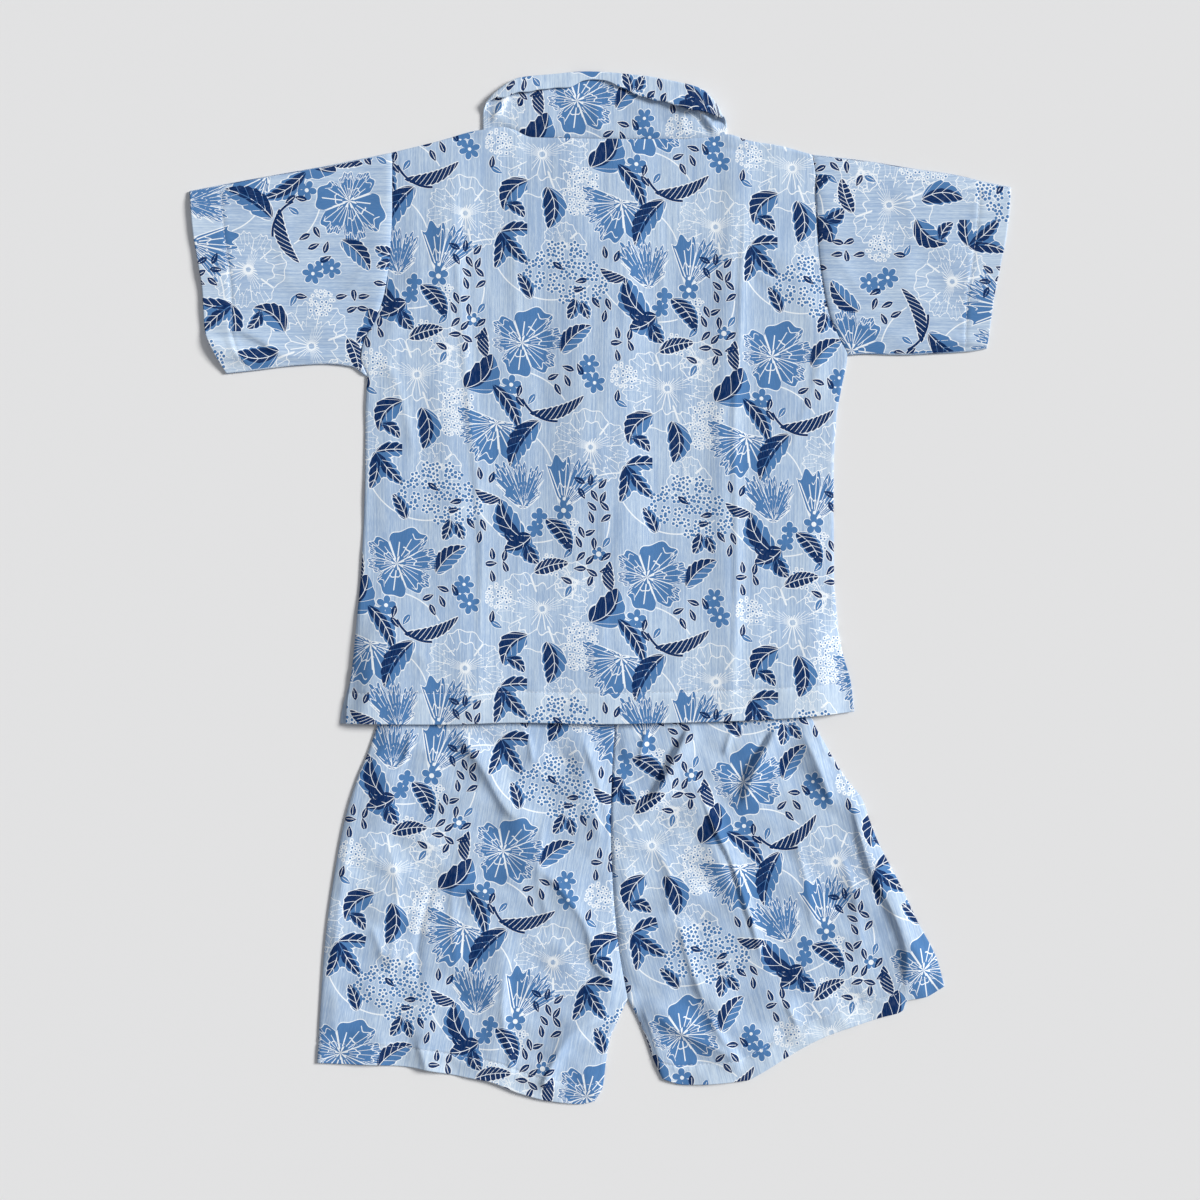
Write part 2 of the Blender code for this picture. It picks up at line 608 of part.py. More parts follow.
def make_shorts(cloth):
    left_in, left_crotch = joined(LEG_LEFT_IN, CENTRE_SEAM)
    right_in, right_crotch = joined(LEG_RIGHT_IN, CENTRE_SEAM_RIGHT)
    legs = {
        "left": (LEG_LEFT_HEM, side(LEG_LEFT_OUT), left_in, left_crotch),
        "right": (LEG_RIGHT_HEM, right_in, side(LEG_RIGHT_OUT), right_crotch),
    }
    layers = (
        Layer("back", columns=21, rows_below=7, rows_above=17, height=shorts_back_height),
        Layer("front", columns=9, rows_below=4, rows_above=9, height=lambda x, y, u, v: np.zeros_like(x)),
    )
    for name, (hem, left, right, crotch) in legs.items():
        patch = panel(side(hem), side([Point(*left(1.0)), Point(*right(1.0))]), left, right)
        for layer in layers:
            below = np.linspace(0.0, crotch, layer.rows_below)
            rows = np.concatenate([below, np.linspace(crotch, 1.0, layer.rows_above)[1:]])
            columns = np.linspace(0.0, 1.0, layer.columns)
            lay_panel(f"shorts_{layer.name}_{name}", patch, columns, rows, layer.height, cloth)


clear_scene()
garment = bpy.data.collections.new("coord_set")
bpy.context.scene.collection.children.link(garment)
cloth_material = make_material("printed_cotton", CLOTH_COLOUR, CLOTH_ROUGHNESS)
button_material = make_material("button", BUTTON_COLOUR, BUTTON_ROUGHNESS)
make_shirt_body(cloth_material)
make_sleeves(cloth_material)
make_collar(cloth_material)
make_buttons(button_material)
make_waistband(cloth_material)
make_shorts(cloth_material)
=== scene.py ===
"""The looks of a child's printed cotton shirt and shorts, laid flat on their fronts.

Lengths in the tables are millimetres, as seen from above with +X to the right and +Y towards the
collar, and become metres in lay_cloth() and the other makers. Left is the wearer's left, at -X.
"""

import math
from collections import namedtuple

import bmesh
import bpy
import numpy as np
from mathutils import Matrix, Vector


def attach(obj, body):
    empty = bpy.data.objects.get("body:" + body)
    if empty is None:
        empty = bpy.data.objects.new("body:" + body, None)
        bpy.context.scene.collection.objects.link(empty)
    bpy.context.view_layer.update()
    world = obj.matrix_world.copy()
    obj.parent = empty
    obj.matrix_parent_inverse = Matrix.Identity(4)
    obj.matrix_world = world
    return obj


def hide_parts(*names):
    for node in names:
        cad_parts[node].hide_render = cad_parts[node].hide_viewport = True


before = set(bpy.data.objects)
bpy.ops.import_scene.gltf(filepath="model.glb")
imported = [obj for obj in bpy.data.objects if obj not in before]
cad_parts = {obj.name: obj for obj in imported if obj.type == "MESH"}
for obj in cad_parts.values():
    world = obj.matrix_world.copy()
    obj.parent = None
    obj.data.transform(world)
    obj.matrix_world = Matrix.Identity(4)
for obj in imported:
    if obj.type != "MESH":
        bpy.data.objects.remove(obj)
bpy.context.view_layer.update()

MM = 0.001

# Sizes that the solids have too
SOLID_WALL = 1.0
SEAM_GAP = 0.3
LAYER = SOLID_WALL + SEAM_GAP
PUFF = 1.0
PUFF_REACH = 0.06
LAP_HALF = 12.0
LAP_SLOPE_END = 46.0
LAP_SLOPE = LAP_SLOPE_END - LAP_HALF - 2.0
LAP_GAP = 0.5
BUTTON_RADIUS = 5.5
BUTTON_THICK = 1.5
BUTTON_COUNT = 5
BUTTON_TOP_Y = 245.0
BUTTON_PITCH = 48.0
BUTTON_LIFT_END = 28.0
BUTTON_LIFT_HOLD = 10.0
FRONT_NECK_Y = 285.0
WAIST_TOP_Y = -50.0
WAIST_SEAM_Y = -76.0
WAIST_LEFT_X = -159.5
WAIST_RIGHT_X = 152.0
SHIRT_LIFT = 5.6
LIFT_START_Y = -2.0
LIFT_SIDE_SLOPE = 22.0
BACK_SPREAD = 1.4
FRONT_SPREAD = 1.1
SHORTS_CAP = 3.9
SHORTS_CAP_Y = -103.0
SHORTS_FREE_Y = -125.0
SHORTS_CAP_FREE = 6.0
HELD_SHARE = 0.35
WAIST_RISE = 0.7
WAIST_RISE_START_Y = WAIST_SEAM_Y - 30.0
WAIST_RISE_REACH = 26.0
VENT_SHOW = 4.4
VENT_HEIGHT = 36.0
CENTRE_SEAM_GAP = 0.2
ARMHOLE_GAP = 0.1

# The cloth as it shows
CLOTH = 0.55
GRID = 2.2
SHORTS_GRID = 1.5
HIDDEN_GRID = 4.5
CREST = 1.45
SEAM_DIP = 0.9
SEAM_REACH = 2.6
ARMHOLE_DIP = 0.3
ARMHOLE_TUCK = 0.8
HEM_RISE = 0.35
HEM_GROOVE = 0.55
HEM_PUCKER = 0.16
HEM_TONE = 0.8
SHORTS_HEM_TONE = 0.9
STITCH_INSET = 1.6
STITCH_LENGTH = 2.3
STITCH_PITCH = 3.1
STITCH_WIDTH = 0.42
STITCH_CORNERS = 5
SEWN_LIFT = 0.6
SHIRT_CREASING = 1.3
SHORTS_CREASING = 1.8
SHIRT_HEM = 24.0
SLEEVE_HEM = 18.0
SHORTS_HEM = 17.0
LEG_LENGTH = 292.0
SEWN_FLAT = 4.0
TUBE_STEPS = 6
EDGE_MARKS = (0.0, 0.7, 1.6, 2.8)
LINE_MARKS = (-1.5, -0.7, 0.0, 0.7, 1.5)
PRINT_BEHIND = 120.0

# What each sheet was cut to, across and up, and how wide the gathered waistband is
WAISTBAND_CUT = (940, 26)
WAISTBAND_GATHERED = 311

# The collar's band: rows up to the roll, round it and down behind it, columns along the leaves, the
# back and the turns between them, and how far its back bulges, dips at the seam and wavers
COLLAR_ROWS = (22, 10, 12)
LEAF_COLUMNS = 34
BACK_COLUMNS = 96
TURN_COLUMNS = 7
COLLAR_BULGE = 1.6
COLLAR_WAVER = 0.5
COLLAR_DIP = 1.2
COLLAR_DROOP = 0.05
COLLAR_DROOP_RIGHT = 0.14

# One repeat of the print: each row is half a repeat to the side of the one above it
REPEAT = 186.0
ROW = 169.0

# A stitch's rings: how far along its length, how wide and how deep each is
Ring = namedtuple("Ring", "along girth sink")
STITCH_RINGS = (
    Ring(-0.5, 0.45, -0.16), Ring(-0.22, 1.0, 0.0), Ring(0.22, 1.0, 0.0), Ring(0.5, 0.45, -0.16),
)

Fold = namedtuple("Fold", "x1 y1 x2 y2 bow width height lean")
Crease = namedtuple("Crease", "height left right line")
Return = namedtuple("Return", "x length radius")
Point = namedtuple("Point", "x y")


def outline(*pairs):
    """A table of points along an edge."""
    return [Point(*pair) for pair in pairs]


BODY_LEFT = outline(
    (-189, -101), (-188.5, -89), (-184.5, -60), (-181, -24), (-177.3, 21), (-175, 80), (-174.6, 130),
    (-173.6, 157.5),
)
ARMHOLE_LEFT = outline(
    (-178, 171), (-175.8, 183), (-166.9, 200), (-160.2, 222), (-156.5, 250), (-155, 284), (-155, 324),
)
BODY_RIGHT = outline(
    (189, -92), (186.5, -70), (181, -50), (176.6, -24), (174.2, 10), (173.8, 80), (175.8, 125),
    (179.5, 148), (184, 173),
)
ARMHOLE_RIGHT = outline(
    (178, 186), (171, 204), (166.9, 224), (163.2, 250), (161.5, 275), (160.5, 305), (158, 322.5),
)
HEM = outline(
    (-189, -101), (-119, -101.5), (-60, -100), (0, -101), (60, -100), (119, -98), (158, -95.5), (189, -92),
)
BACK_TOP = outline(
    (-155, 324), (-124, 331.5), (-88, 341), (-71, 343), (-50, 335.5), (15, 334), (78, 335), (95, 337.5),
    (110, 333), (134, 329), (158, 322.5),
)
SCOOP_LEFT = outline((-62, 312), (-32, 292), (-LAP_HALF, FRONT_NECK_Y))
SCOOP_RIGHT = outline((LAP_HALF, FRONT_NECK_Y), (34, 292), (67, 311))

# The whole sides of the back, and the tops of the two fronts
SIDE_LEFT = BODY_LEFT + ARMHOLE_LEFT
SIDE_RIGHT = BODY_RIGHT + ARMHOLE_RIGHT
FRONT_LEFT_TOP = BACK_TOP[:3] + SCOOP_LEFT + SCOOP_RIGHT[:1]
FRONT_RIGHT_TOP = SCOOP_LEFT[-1:] + SCOOP_RIGHT + BACK_TOP[7:]

SLEEVE_LEFT_TOP = outline((-305.5, 295.5), (-272, 302), (-238, 308.2), (-205, 314), (-155.5, 324))
SLEEVE_LEFT_BOTTOM = outline(
    (-278, 159.5), (-261, 161.3), (-227, 165.3), (-205, 166.5), (-185, 164.5), (-174.2, 157.5),
)
CUFF_LEFT = outline(
    (-278, 159.5), (-288.3, 177), (-294, 192), (-296, 222), (-299.5, 244), (-303.2, 266.5), (-305.5, 295.5),
)
SLEEVE_RIGHT_TOP = outline(
    (305.5, 298.5), (286.5, 302.3), (264.5, 307.5), (231, 312.5), (197.5, 318), (158.5, 322.5),
)
SLEEVE_RIGHT_BOTTOM = outline(
    (287.5, 178), (276, 176), (253, 174.5), (223.5, 173.3), (197.5, 174), (184.6, 173),
)
CUFF_RIGHT = outline(
    (287.5, 178), (289.8, 192), (292.8, 214.5), (297.3, 236.7), (301.7, 259), (304.5, 281), (305.5, 298.5),
)
COLLAR_TOP = outline(
    (-87.5, 351), (-85, 360.5), (-75, 371), (-60, 379.5), (-37, 382), (-10, 384.2), (30, 381.3),
    (52, 377.5), (74.5, 371.5), (85, 362), (91, 353), (94.6, 345),
)
LEAF_TOP = outline(
    (-87.5, 349), (-75, 364), (-58, 371), (-30, 366), (0, 342), (30, 365), (62, 366), (80, 358),
    (94.6, 343.5),
)
COLLAR_RETURNS = [
    Return(-87.5, 1, 0.9), Return(-80, 2, 1.6), Return(-68, 9.3, 1.8), Return(-42, 10, 1.1),
    Return(-22, 10, 0.9), Return(-12, 6, 0.9), Return(2, 5, 0.9), Return(15, 9.5, 0.9),
    Return(26, 14, 1.0), Return(45, 16.4, 1.2), Return(58, 17.4, 1.4), Return(74, 16, 1.8),
    Return(86, 9, 1.8), Return(94.6, 2, 0.9),
]
CENTRE_SEAM = outline(
    (20.6, -306), (13.2, -262), (9.5, -218), (8, -173), (9.5, -128), (11, -100), (9, -76.3),
)
CENTRE_SEAM_RIGHT = outline(*((p.x + CENTRE_SEAM_GAP, p.y) for p in CENTRE_SEAM))
LEG_LEFT_OUT = outline(
    (-210.5, -353.5), (-208, -310), (-204.5, -262), (-196, -203), (-190, -173), (-181, -143), (-171, -118),
    (-165.5, -100), (-160.5, -76.3),
)
LEG_LEFT_IN = outline((-4, -382), (2, -371), (4.5, -352), (7, -337), (13, -322), CENTRE_SEAM[0])
LEG_LEFT_HEM = outline(
    (-210.5, -353.5), (-149, -356), (-104, -363.5), (-82, -367.5), (-60, -376), (-37, -382), (-15, -384.2),
    (-4, -382),
)
LEG_RIGHT_IN = outline((46.5, -365.5), (40.2, -352), (35, -337), (29, -322), CENTRE_SEAM_RIGHT[0])
LEG_RIGHT_OUT = outline(
    (256.3, -296.5), (251, -277), (236, -247.5), (222, -218), (206.5, -188), (200, -171), (195, -157),
    (184, -143), (166, -113.5), (159, -100), (153, -76.3),
)
LEG_RIGHT_HEM = outline(
    (46.5, -365.5), (63, -369.8), (108, -366.8), (119, -361.5), (142, -347.5), (164, -335.5), (208, -320),
    (225, -314.5), (228, -307.5), (242, -304.5), (256.3, -296.5),
)

# The solids' own large folds
SHIRT_FOLDS = [
    Fold(-112, 318, -92, -101, 12, 12, 1.6, 1.3),
    Fold(106, 335, 98, -99, 9, 11, 2.0, 0.8),
    Fold(-30, 336, -64, 130, 5, 16, 0.8, 1.0),
    Fold(172, 178, 118, 262, 6, 12, 1.2, 1.0),
    Fold(-176, 168, -132, 240, 4, 12, 1.0, 1.0),
]
SLEEVE_FOLDS = [
    Fold(-296, 186, -196, 168, 10, 9, 2.2, 0.6),
    Fold(-158, 300, -166, 190, 4, 9, 1.0, 1.0),
    Fold(292, 182, 220, 176, -6, 8, 2.0, 0.8),
    Fold(166, 300, 172, 196, -4, 9, 1.0, 1.0),
]
SHORTS_FOLDS = [
    Fold(-118, -74, -52, -182, 4, 11, 2.6, 0.8),
    Fold(-22, -74, 4, -190, 3, 9, 2.6, 0.8),
    Fold(-62, -196, 18, -304, -8, 10, 2.4, 1.0),
    Fold(-150, -74, -168, -190, -4, 12, 1.8, 1.0),
    Fold(-70, -262, -72, -374, 5, 9, 2.0, 0.8),
    Fold(4, -318, -42, -372, 10, 9, 2.8, 0.7),
    Fold(-134, -322, -124, -366, 0, 9, 2.0, 1.0),
    Fold(72, -86, 30, -172, -4, 9, 3.0, 0.6),
    Fold(130, -84, 106, -160, -3, 9, 2.6, 0.7),
    Fold(66, -134, 126, -292, 3, 9, 2.6, 0.7),
    Fold(34, -312, 104, -360, -6, 9, 2.6, 0.8),
    Fold(58, -244, 96, -330, 3, 10, 1.8, 1.0),
    Fold(146, -84, 180, -172, 3, 8, 2.2, 1.0),
    Fold(188, -152, 240, -306, -8, 11, 3.2, 1.6),
    Fold(138, -306, 150, -338, 0, 9, 1.6, 1.0),
]

# Creases: how high, how far each side slopes away as seen along the line, and the line
SHIRT_CREASES = [
    Crease(0.9, 6.0, 1.6, [(-112, 320), (-103, 192), (-97, 125), (-89, 21), (-91, -98)]),
    Crease(1.3, 5.0, 1.3, [(108, 316), (103, 192), (99, 117), (101, 21), (97, -97)]),
    Crease(0.4, 3.0, 1.6, [(2, 112), (3, 20), (2, -74)]),
    Crease(-0.5, 2.5, 4.0, [(-104, 300), (-95, 196), (-92, 140)]),
    Crease(0.5, 3.0, 4.5, [(-60, 318), (-63, 240), (-58, 170)]),
    Crease(0.5, 4.0, 3.0, [(40, 322), (46, 220), (42, 120)]),
    Crease(0.7, 4.0, 2.5, [(168, 186), (158, 150), (140, 96)]),
    Crease(0.6, 3.0, 3.0, [(150, 216), (128, 226), (104, 250)]),
    Crease(0.7, 2.5, 4.0, [(-164, 176), (-150, 150), (-136, 92)]),
    Crease(0.5, 3.0, 3.0, [(-150, 228), (-130, 236), (-112, 262)]),
    Crease(-0.7, 1.4, 1.4, [(79, 331), (106, 325), (134, 329.5)]),
    Crease(-0.6, 1.4, 1.4, [(-112, 331), (-99, 335), (-86, 337)]),
    Crease(0.5, 5.0, 5.0, [(-150, 60), (-120, 52), (-84, 58)]),
    Crease(0.5, 5.0, 4.0, [(124, 40), (142, 30), (168, 34)]),
    Crease(0.6, 6.0, 4.0, [(-172, -20), (-150, -40), (-120, -60)]),
    Crease(0.5, 5.0, 4.0, [(176, -30), (158, -44), (136, -72)]),
]
SLEEVE_CREASES = [
    Crease(1.5, 8.0, 1.2, [(-293, 190), (-270, 190), (-252, 183), (-238, 172.6), (-199, 167.5)]),
    Crease(0.8, 4.0, 2.0, [(-280, 190), (-268, 172), (-257, 163)]),
    Crease(0.5, 5.0, 3.0, [(-170, 250), (-186, 222), (-206, 206)]),
    Crease(0.5, 3.0, 5.0, [(-168, 200), (-190, 186), (-222, 184)]),
    Crease(0.4, 4.0, 4.0, [(-230, 300), (-236, 250), (-226, 216)]),
    Crease(1.4, 1.2, 7.0, [(236, 176), (252, 179), (265, 185), (291, 184)]),
    Crease(0.6, 4.0, 3.0, [(180, 204), (206, 190), (236, 186)]),
    Crease(0.5, 4.0, 4.0, [(170, 262), (190, 226), (214, 208)]),
    Crease(0.4, 4.0, 5.0, [(226, 302), (232, 262), (224, 226)]),
]
SHORTS_CREASES = [
    Crease(1.7, 6.0, 2.2, [(-110, -102), (-88.7, -132), (-68.5, -165.6), (-54.4, -176)]),
    Crease(1.5, 5.0, 2.0, [(-16.4, -102), (-4.5, -135.8), (5.2, -171.5), (8, -196)]),
    Crease(1.3, 4.5, 2.2, [(-52, -203), (-26.8, -227), (-9, -256), (-4.5, -276), (19, -303)]),
    Crease(-0.9, 3.0, 3.0, [(-122, -215), (-134, -256), (-136, -276), (-133, -306)]),
    Crease(1.2, 3.5, 2.2, [(-70.8, -277), (-72.3, -315), (-66.3, -356), (-68.5, -374)]),
    Crease(1.0, 3.0, 2.0, [(-136.3, -335), (-128, -361)]),
    Crease(1.4, 2.0, 4.5, [(5, -317.5), (-24.6, -335.4), (-30.5, -352)]),
    Crease(1.9, 4.0, 1.8, [(-28.3, -339), (-44.7, -374)]),
    Crease(1.0, 3.0, 5.0, [(-176, -120), (-186, -176), (-204, -315)]),
    Crease(0.8, 3.0, 3.0, [(-170, -250), (-160, -277)]),
    Crease(0.7, 4.0, 3.0, [(-96, -180), (-110, -230), (-106, -290)]),
    Crease(0.6, 4.0, 3.0, [(-40, -160), (-46, -210), (-34, -262)]),
    Crease(0.6, 3.0, 4.0, [(-160, -180), (-150, -226), (-158, -300)]),
    Crease(2.6, 7.5, 2.4, [(71, -96), (61, -116), (54, -129), (44, -149), (30, -163)]),
    Crease(2.6, 7.5, 2.6, [(134, -98), (126, -115), (117.5, -129), (110, -148), (105, -163)]),
    Crease(-1.7, 1.3, 5.0, [(67, -98), (58, -116), (51, -129), (41, -149), (28, -162)]),
    Crease(-1.7, 1.3, 5.0, [(130, -100), (122, -115), (114, -129), (107, -148), (102, -162)]),
    Crease(2.4, 6.0, 1.6, [(67.8, -140), (77.5, -159.6), (85.7, -179.7), (97.6, -203.6), (109.5, -240),
                           (123.7, -285.6)]),
    Crease(1.2, 3.5, 2.0, [(137.8, -308), (147.5, -327)]),
    Crease(1.2, 4.0, 2.0, [(58, -246), (65.6, -276), (79.7, -315)]),
    Crease(1.9, 2.2, 4.5, [(79, -314), (92, -336), (107, -356)]),
    Crease(1.5, 4.0, 2.0, [(159, -104), (170, -128)]),
    Crease(1.6, 3.0, 3.0, [(147.5, -102), (159.4, -126), (173.6, -164)]),
    Crease(2.0, 11.0, 1.2, [(185.5, -152), (191.5, -179), (199.7, -208), (219.8, -247.6), (227.2, -276),
                            (225.7, -308)]),
    Crease(1.2, 4.0, 3.0, [(12, -106), (9.7, -156), (12, -215), (20, -276), (24, -300)]),
    Crease(1.2, 3.0, 2.2, [(29.8, -308), (39.5, -335), (47.7, -365)]),
    Crease(1.3, 2.4, 3.5, [(38, -315), (65.6, -333), (95.4, -347), (103.6, -358)]),
    Crease(0.8, 4.0, 3.0, [(40, -190), (52, -216), (50, -250)]),
    Crease(0.8, 4.0, 3.0, [(140, -170), (152, -214), (160, -262)]),
    Crease(0.7, 3.0, 4.0, [(176, -190), (190, -232), (196, -286)]),
    Crease(1.1, 2.0, 2.0, [(100, -102), (96, -112), (92, -126)]),
    Crease(1.1, 2.0, 2.0, [(-60, -102), (-52, -116), (-50, -132)]),
    Crease(1.0, 2.0, 2.0, [(-140, -102), (-142, -118), (-150, -136)]),
    Crease(1.1, 2.0, 2.0, [(36, -102), (32, -116), (30, -134)]),
]
COLLAR_CREASES = [
    Crease(2.2, 2.4, 1.6, [(-81, 345), (-74, 357), (-68, 368)]),
    Crease(0.6, 2.0, 3.0, [(-76, 354), (-70, 346), (-62, 341)]),
    Crease(0.7, 2.5, 2.5, [(-3, 364), (-2, 352), (0, 338)]),
    Crease(0.5, 4.0, 3.0, [(-34, 362), (-38, 350), (-36, 340)]),
    Crease(0.8, 3.0, 1.8, [(60, 360), (61, 348), (62, 337)]),
    Crease(2.4, 3.4, 1.4, [(72, 358), (80, 347), (88, 337)]),
    Crease(-1.4, 1.4, 3.0, [(68, 356), (76, 346), (84, 336)]),
]


def ease(share):
    """0 below 0, 1 above 1 and a smooth step between."""
    share = np.clip(share, 0.0, 1.0)
    return share * share * (3.0 - 2.0 * share)


def through(stations, values, at):
    """A smooth curve through a table that never overshoots between two rows."""
    stations, values = np.asarray(stations, float), np.asarray(values, float)
    step = np.diff(stations)
    slope = np.diff(values) / step
    tangent = np.zeros(len(values))
    turns = slope[1:] * slope[:-1] <= 0.0
    total = np.where(turns, 1.0, slope[1:] + slope[:-1])
    tangent[1:-1] = np.where(turns, 0.0, 2.0 * slope[1:] * slope[:-1] / total)
    tangent[0], tangent[-1] = slope[0], slope[-1]
    k = np.clip(np.searchsorted(stations, at, side="right") - 1, 0, len(step) - 1)
    t = (np.asarray(at, float) - stations[k]) / step[k]
    rise = tangent[k] * step[k] * t * (1.0 - t) ** 2 - tangent[k + 1] * step[k] * t * t * (1.0 - t)
    return values[k] * (1.0 + 2.0 * t) * (1.0 - t) ** 2 + values[k + 1] * t * t * (3.0 - 2.0 * t) + rise


def side(table):
    """A function from a share of the outline's length to its point."""
    x, y = np.array([p[0] for p in table], float), np.array([p[1] for p in table], float)
    along = np.concatenate([[0.0], np.cumsum(np.hypot(np.diff(x), np.diff(y)))])
    along /= along[-1]
    return lambda share: np.stack([through(along, x, share), through(along, y, share)], axis=-1)


def length_of(table):
    return sum(math.dist(a, b) for a, b in zip(table, table[1:]))


def share_of(table, count):
    """The share of an outline's length that its first rows take."""
    return length_of(table[:count]) / length_of(table)


def graph(curve):
    """A curve that never turns back in x, as a function from x to y."""
    points = curve(np.linspace(0.0, 1.0, 400))
    return lambda x: np.interp(x, points[:, 0], points[:, 1])


def joined(first, second):
    """Two outlines end to end with a corner where they meet, as a function from a share to a point."""
    corner = share_of(first + second[1:], len(first))
    low, high = side(first), side(second)

    def at(share):
        share = np.asarray(share, float)
        before = low(np.minimum(share / corner, 1.0))
        after = high(np.maximum(share - corner, 0.0) / (1.0 - corner))
        return np.where((share < corner)[..., None], before, after)

    return at


def panel(bottom, top, left, right):
    """A function from two shares, across and up, to x and y between four sides."""

    def at(u, v):
        u, v = np.asarray(u, float), np.asarray(v, float)
        uu, vv = u[..., None], v[..., None]
        edges = (1 - vv) * bottom(u) + vv * top(u) + (1 - uu) * left(v) + uu * right(v)
        low = (1 - uu) * bottom(0.0) + uu * bottom(1.0)
        high = (1 - uu) * top(0.0) + uu * top(1.0)
        flat = edges - (1 - vv) * low - vv * high
        return flat[..., 0], flat[..., 1]

    return at


def stations(length, grid, lines=()):
    """Shares along a length: even steps of about the grid, closer at both ends and at each line."""
    marks = [*EDGE_MARKS, *(length - mark for mark in EDGE_MARKS)]
    marks += [line + mark for line in lines for mark in LINE_MARKS]
    even = np.linspace(0.0, length, max(2, round(length / grid)) + 1)
    clear = [e for e in even if min(abs(e - m) for m in marks) > 0.55 * min(grid, 2.0)]
    return np.array(sorted(marks + clear)) / length


def fold_heights(x, y, folds):
    """The height that a table of folds adds at each point."""
    total = np.zeros_like(x)
    for f in folds:
        run = math.hypot(f.x2 - f.x1, f.y2 - f.y1)
        along = ((x - f.x1) * (f.x2 - f.x1) + (y - f.y1) * (f.y2 - f.y1)) / run**2
        held = np.clip(along, 0.0, 1.0)
        aside = ((x - f.x1) * (f.y2 - f.y1) - (y - f.y1) * (f.x2 - f.x1)) / run
        aside = aside - f.bow * 4.0 * held * (1.0 - held)
        width = np.where(aside < 0.0, f.width * f.lean, f.width)
        fade = ease((along + 0.12) / 0.24) * ease((1.12 - along) / 0.3)
        total += f.height * fade * np.exp(-((aside / width) ** 2))
    return total


def crease_heights(x, y, creases):
    """The height that a table of creases adds: a crest that falls off at its own rate on each side."""
    total = np.zeros_like(x)
    for crease in creases:
        reach = 3.0 * max(crease.left, crease.right) + 2.0
        line = side(crease.line)(np.linspace(0.0, 1.0, 25))
        low, high = line.min(axis=0) - reach, line.max(axis=0) + reach
        near = (x > low[0]) & (x < high[0]) & (y > low[1]) & (y < high[1])
        if not near.any():
            continue
        points = np.stack([x[near], y[near]], axis=-1)
        starts, runs = line[:-1], np.diff(line, axis=0)
        offset = points[:, None, :] - starts[None]
        t = np.clip((offset * runs).sum(-1) / (runs**2).sum(-1), 0.0, 1.0)
        gap = offset - t[..., None] * runs
        distance = np.hypot(gap[..., 0], gap[..., 1])
        closest = distance.argmin(axis=1)
        rows = np.arange(len(points))
        run, away = runs[closest], gap[rows, closest]
        on_left = run[:, 0] * away[:, 1] - run[:, 1] * away[:, 0] > 0.0
        width = np.where(on_left, crease.left, crease.right)
        along = (closest + t[rows, closest]) / len(runs)
        fade = ease(along / 0.25) * ease((1.0 - along) / 0.25)
        total[near] += crease.height * fade * np.exp(-((distance[rows, closest] / width) ** CREST))
    return total


def ripple(x, y, seed, pitch, count=14):
    """Soft unevenness from waves in many directions, about 1 high and low."""
    chance = np.random.default_rng(seed)
    total = np.zeros_like(x)
    for _ in range(count):
        angle = chance.uniform(0.0, math.pi)
        wave = 2.0 * math.pi / (pitch * chance.uniform(0.6, 1.8))
        total += np.sin((x * math.cos(angle) + y * math.sin(angle)) * wave + chance.uniform(0.0, 6.28))
    return total / math.sqrt(count)


def puff(u, v):
    """Cloth that lies loose stands a little higher away from its sewn edges."""
    inside = np.minimum(np.minimum(u, 1.0 - u), np.minimum(v, 1.0 - v))
    return PUFF * ease(inside / PUFF_REACH)


def waist_lift(x, y, spread=FRONT_SPREAD):
    """How high the shirt lies where the waist of the shorts is under it. spread is how far past it."""
    left = np.interp(y, [-101.0, WAIST_SEAM_Y], [LEG_LEFT_OUT[7].x, WAIST_LEFT_X])
    right = np.interp(y, [-101.0, WAIST_SEAM_Y], [LEG_RIGHT_OUT[9].x, WAIST_RIGHT_X])
    up = ease((LIFT_START_Y - y) / (LIFT_START_Y - WAIST_TOP_Y - 2.0))
    inward = ease((x - left) / LIFT_SIDE_SLOPE + spread) * ease((right - x) / LIFT_SIDE_SLOPE + spread)
    return SHIRT_LIFT * up * inward


def button_lift(x, y):
    """How high the row of buttons holds the front opening."""
    across = ease((LAP_SLOPE_END - np.abs(x)) / LAP_SLOPE)
    last = BUTTON_TOP_Y - (BUTTON_COUNT - 1) * BUTTON_PITCH
    up = ease((y - last + BUTTON_LIFT_END + BUTTON_LIFT_HOLD) / BUTTON_LIFT_END)
    down = ease((BUTTON_TOP_Y + BUTTON_LIFT_END + BUTTON_LIFT_HOLD - y) / BUTTON_LIFT_END)
    return (BUTTON_THICK + SEAM_GAP) * across * up * down


def lap_step(x):
    """How high the fronts' lap lies, where one crosses the other."""
    return (SOLID_WALL + LAP_GAP) * ease((LAP_SLOPE_END - x) / LAP_SLOPE)


def seam_dip(distance):
    """Cloth turns down into a seam over its last few millimetres."""
    return -SEAM_DIP * (1.0 - ease(distance / SEAM_REACH)) ** 2


def hem_band(distance, depth, x, y, seed):
    """A turned-up hem: a little thicker than one layer, drawn in along its stitches, with small puckers."""
    rise = HEM_RISE * ease((depth + 1.0 - distance) / 1.2)
    groove = -HEM_GROOVE * np.exp(-((distance - depth + STITCH_INSET) ** 2))
    pucker = HEM_PUCKER * ripple(x, y, seed, 9.0) * np.exp(-(((distance - depth + 2.0) / 7.0) ** 2))
    return rise + groove + pucker


def hem_tone(depth, share, fade, tone=HEM_TONE):
    """How pale a hem's cloth is where it lies in two layers. depth, share and fade are shares of the
    length.
    """
    return tone * ease((depth - share) / fade)


def set_input(tree, slot, value):
    """Links a socket or a Number to an input, or sets the input to a plain value."""
    value = value.socket if isinstance(value, Number) else value
    if isinstance(value, bpy.types.NodeSocket):
        tree.links.new(value, slot)
    else:
        slot.default_value = value


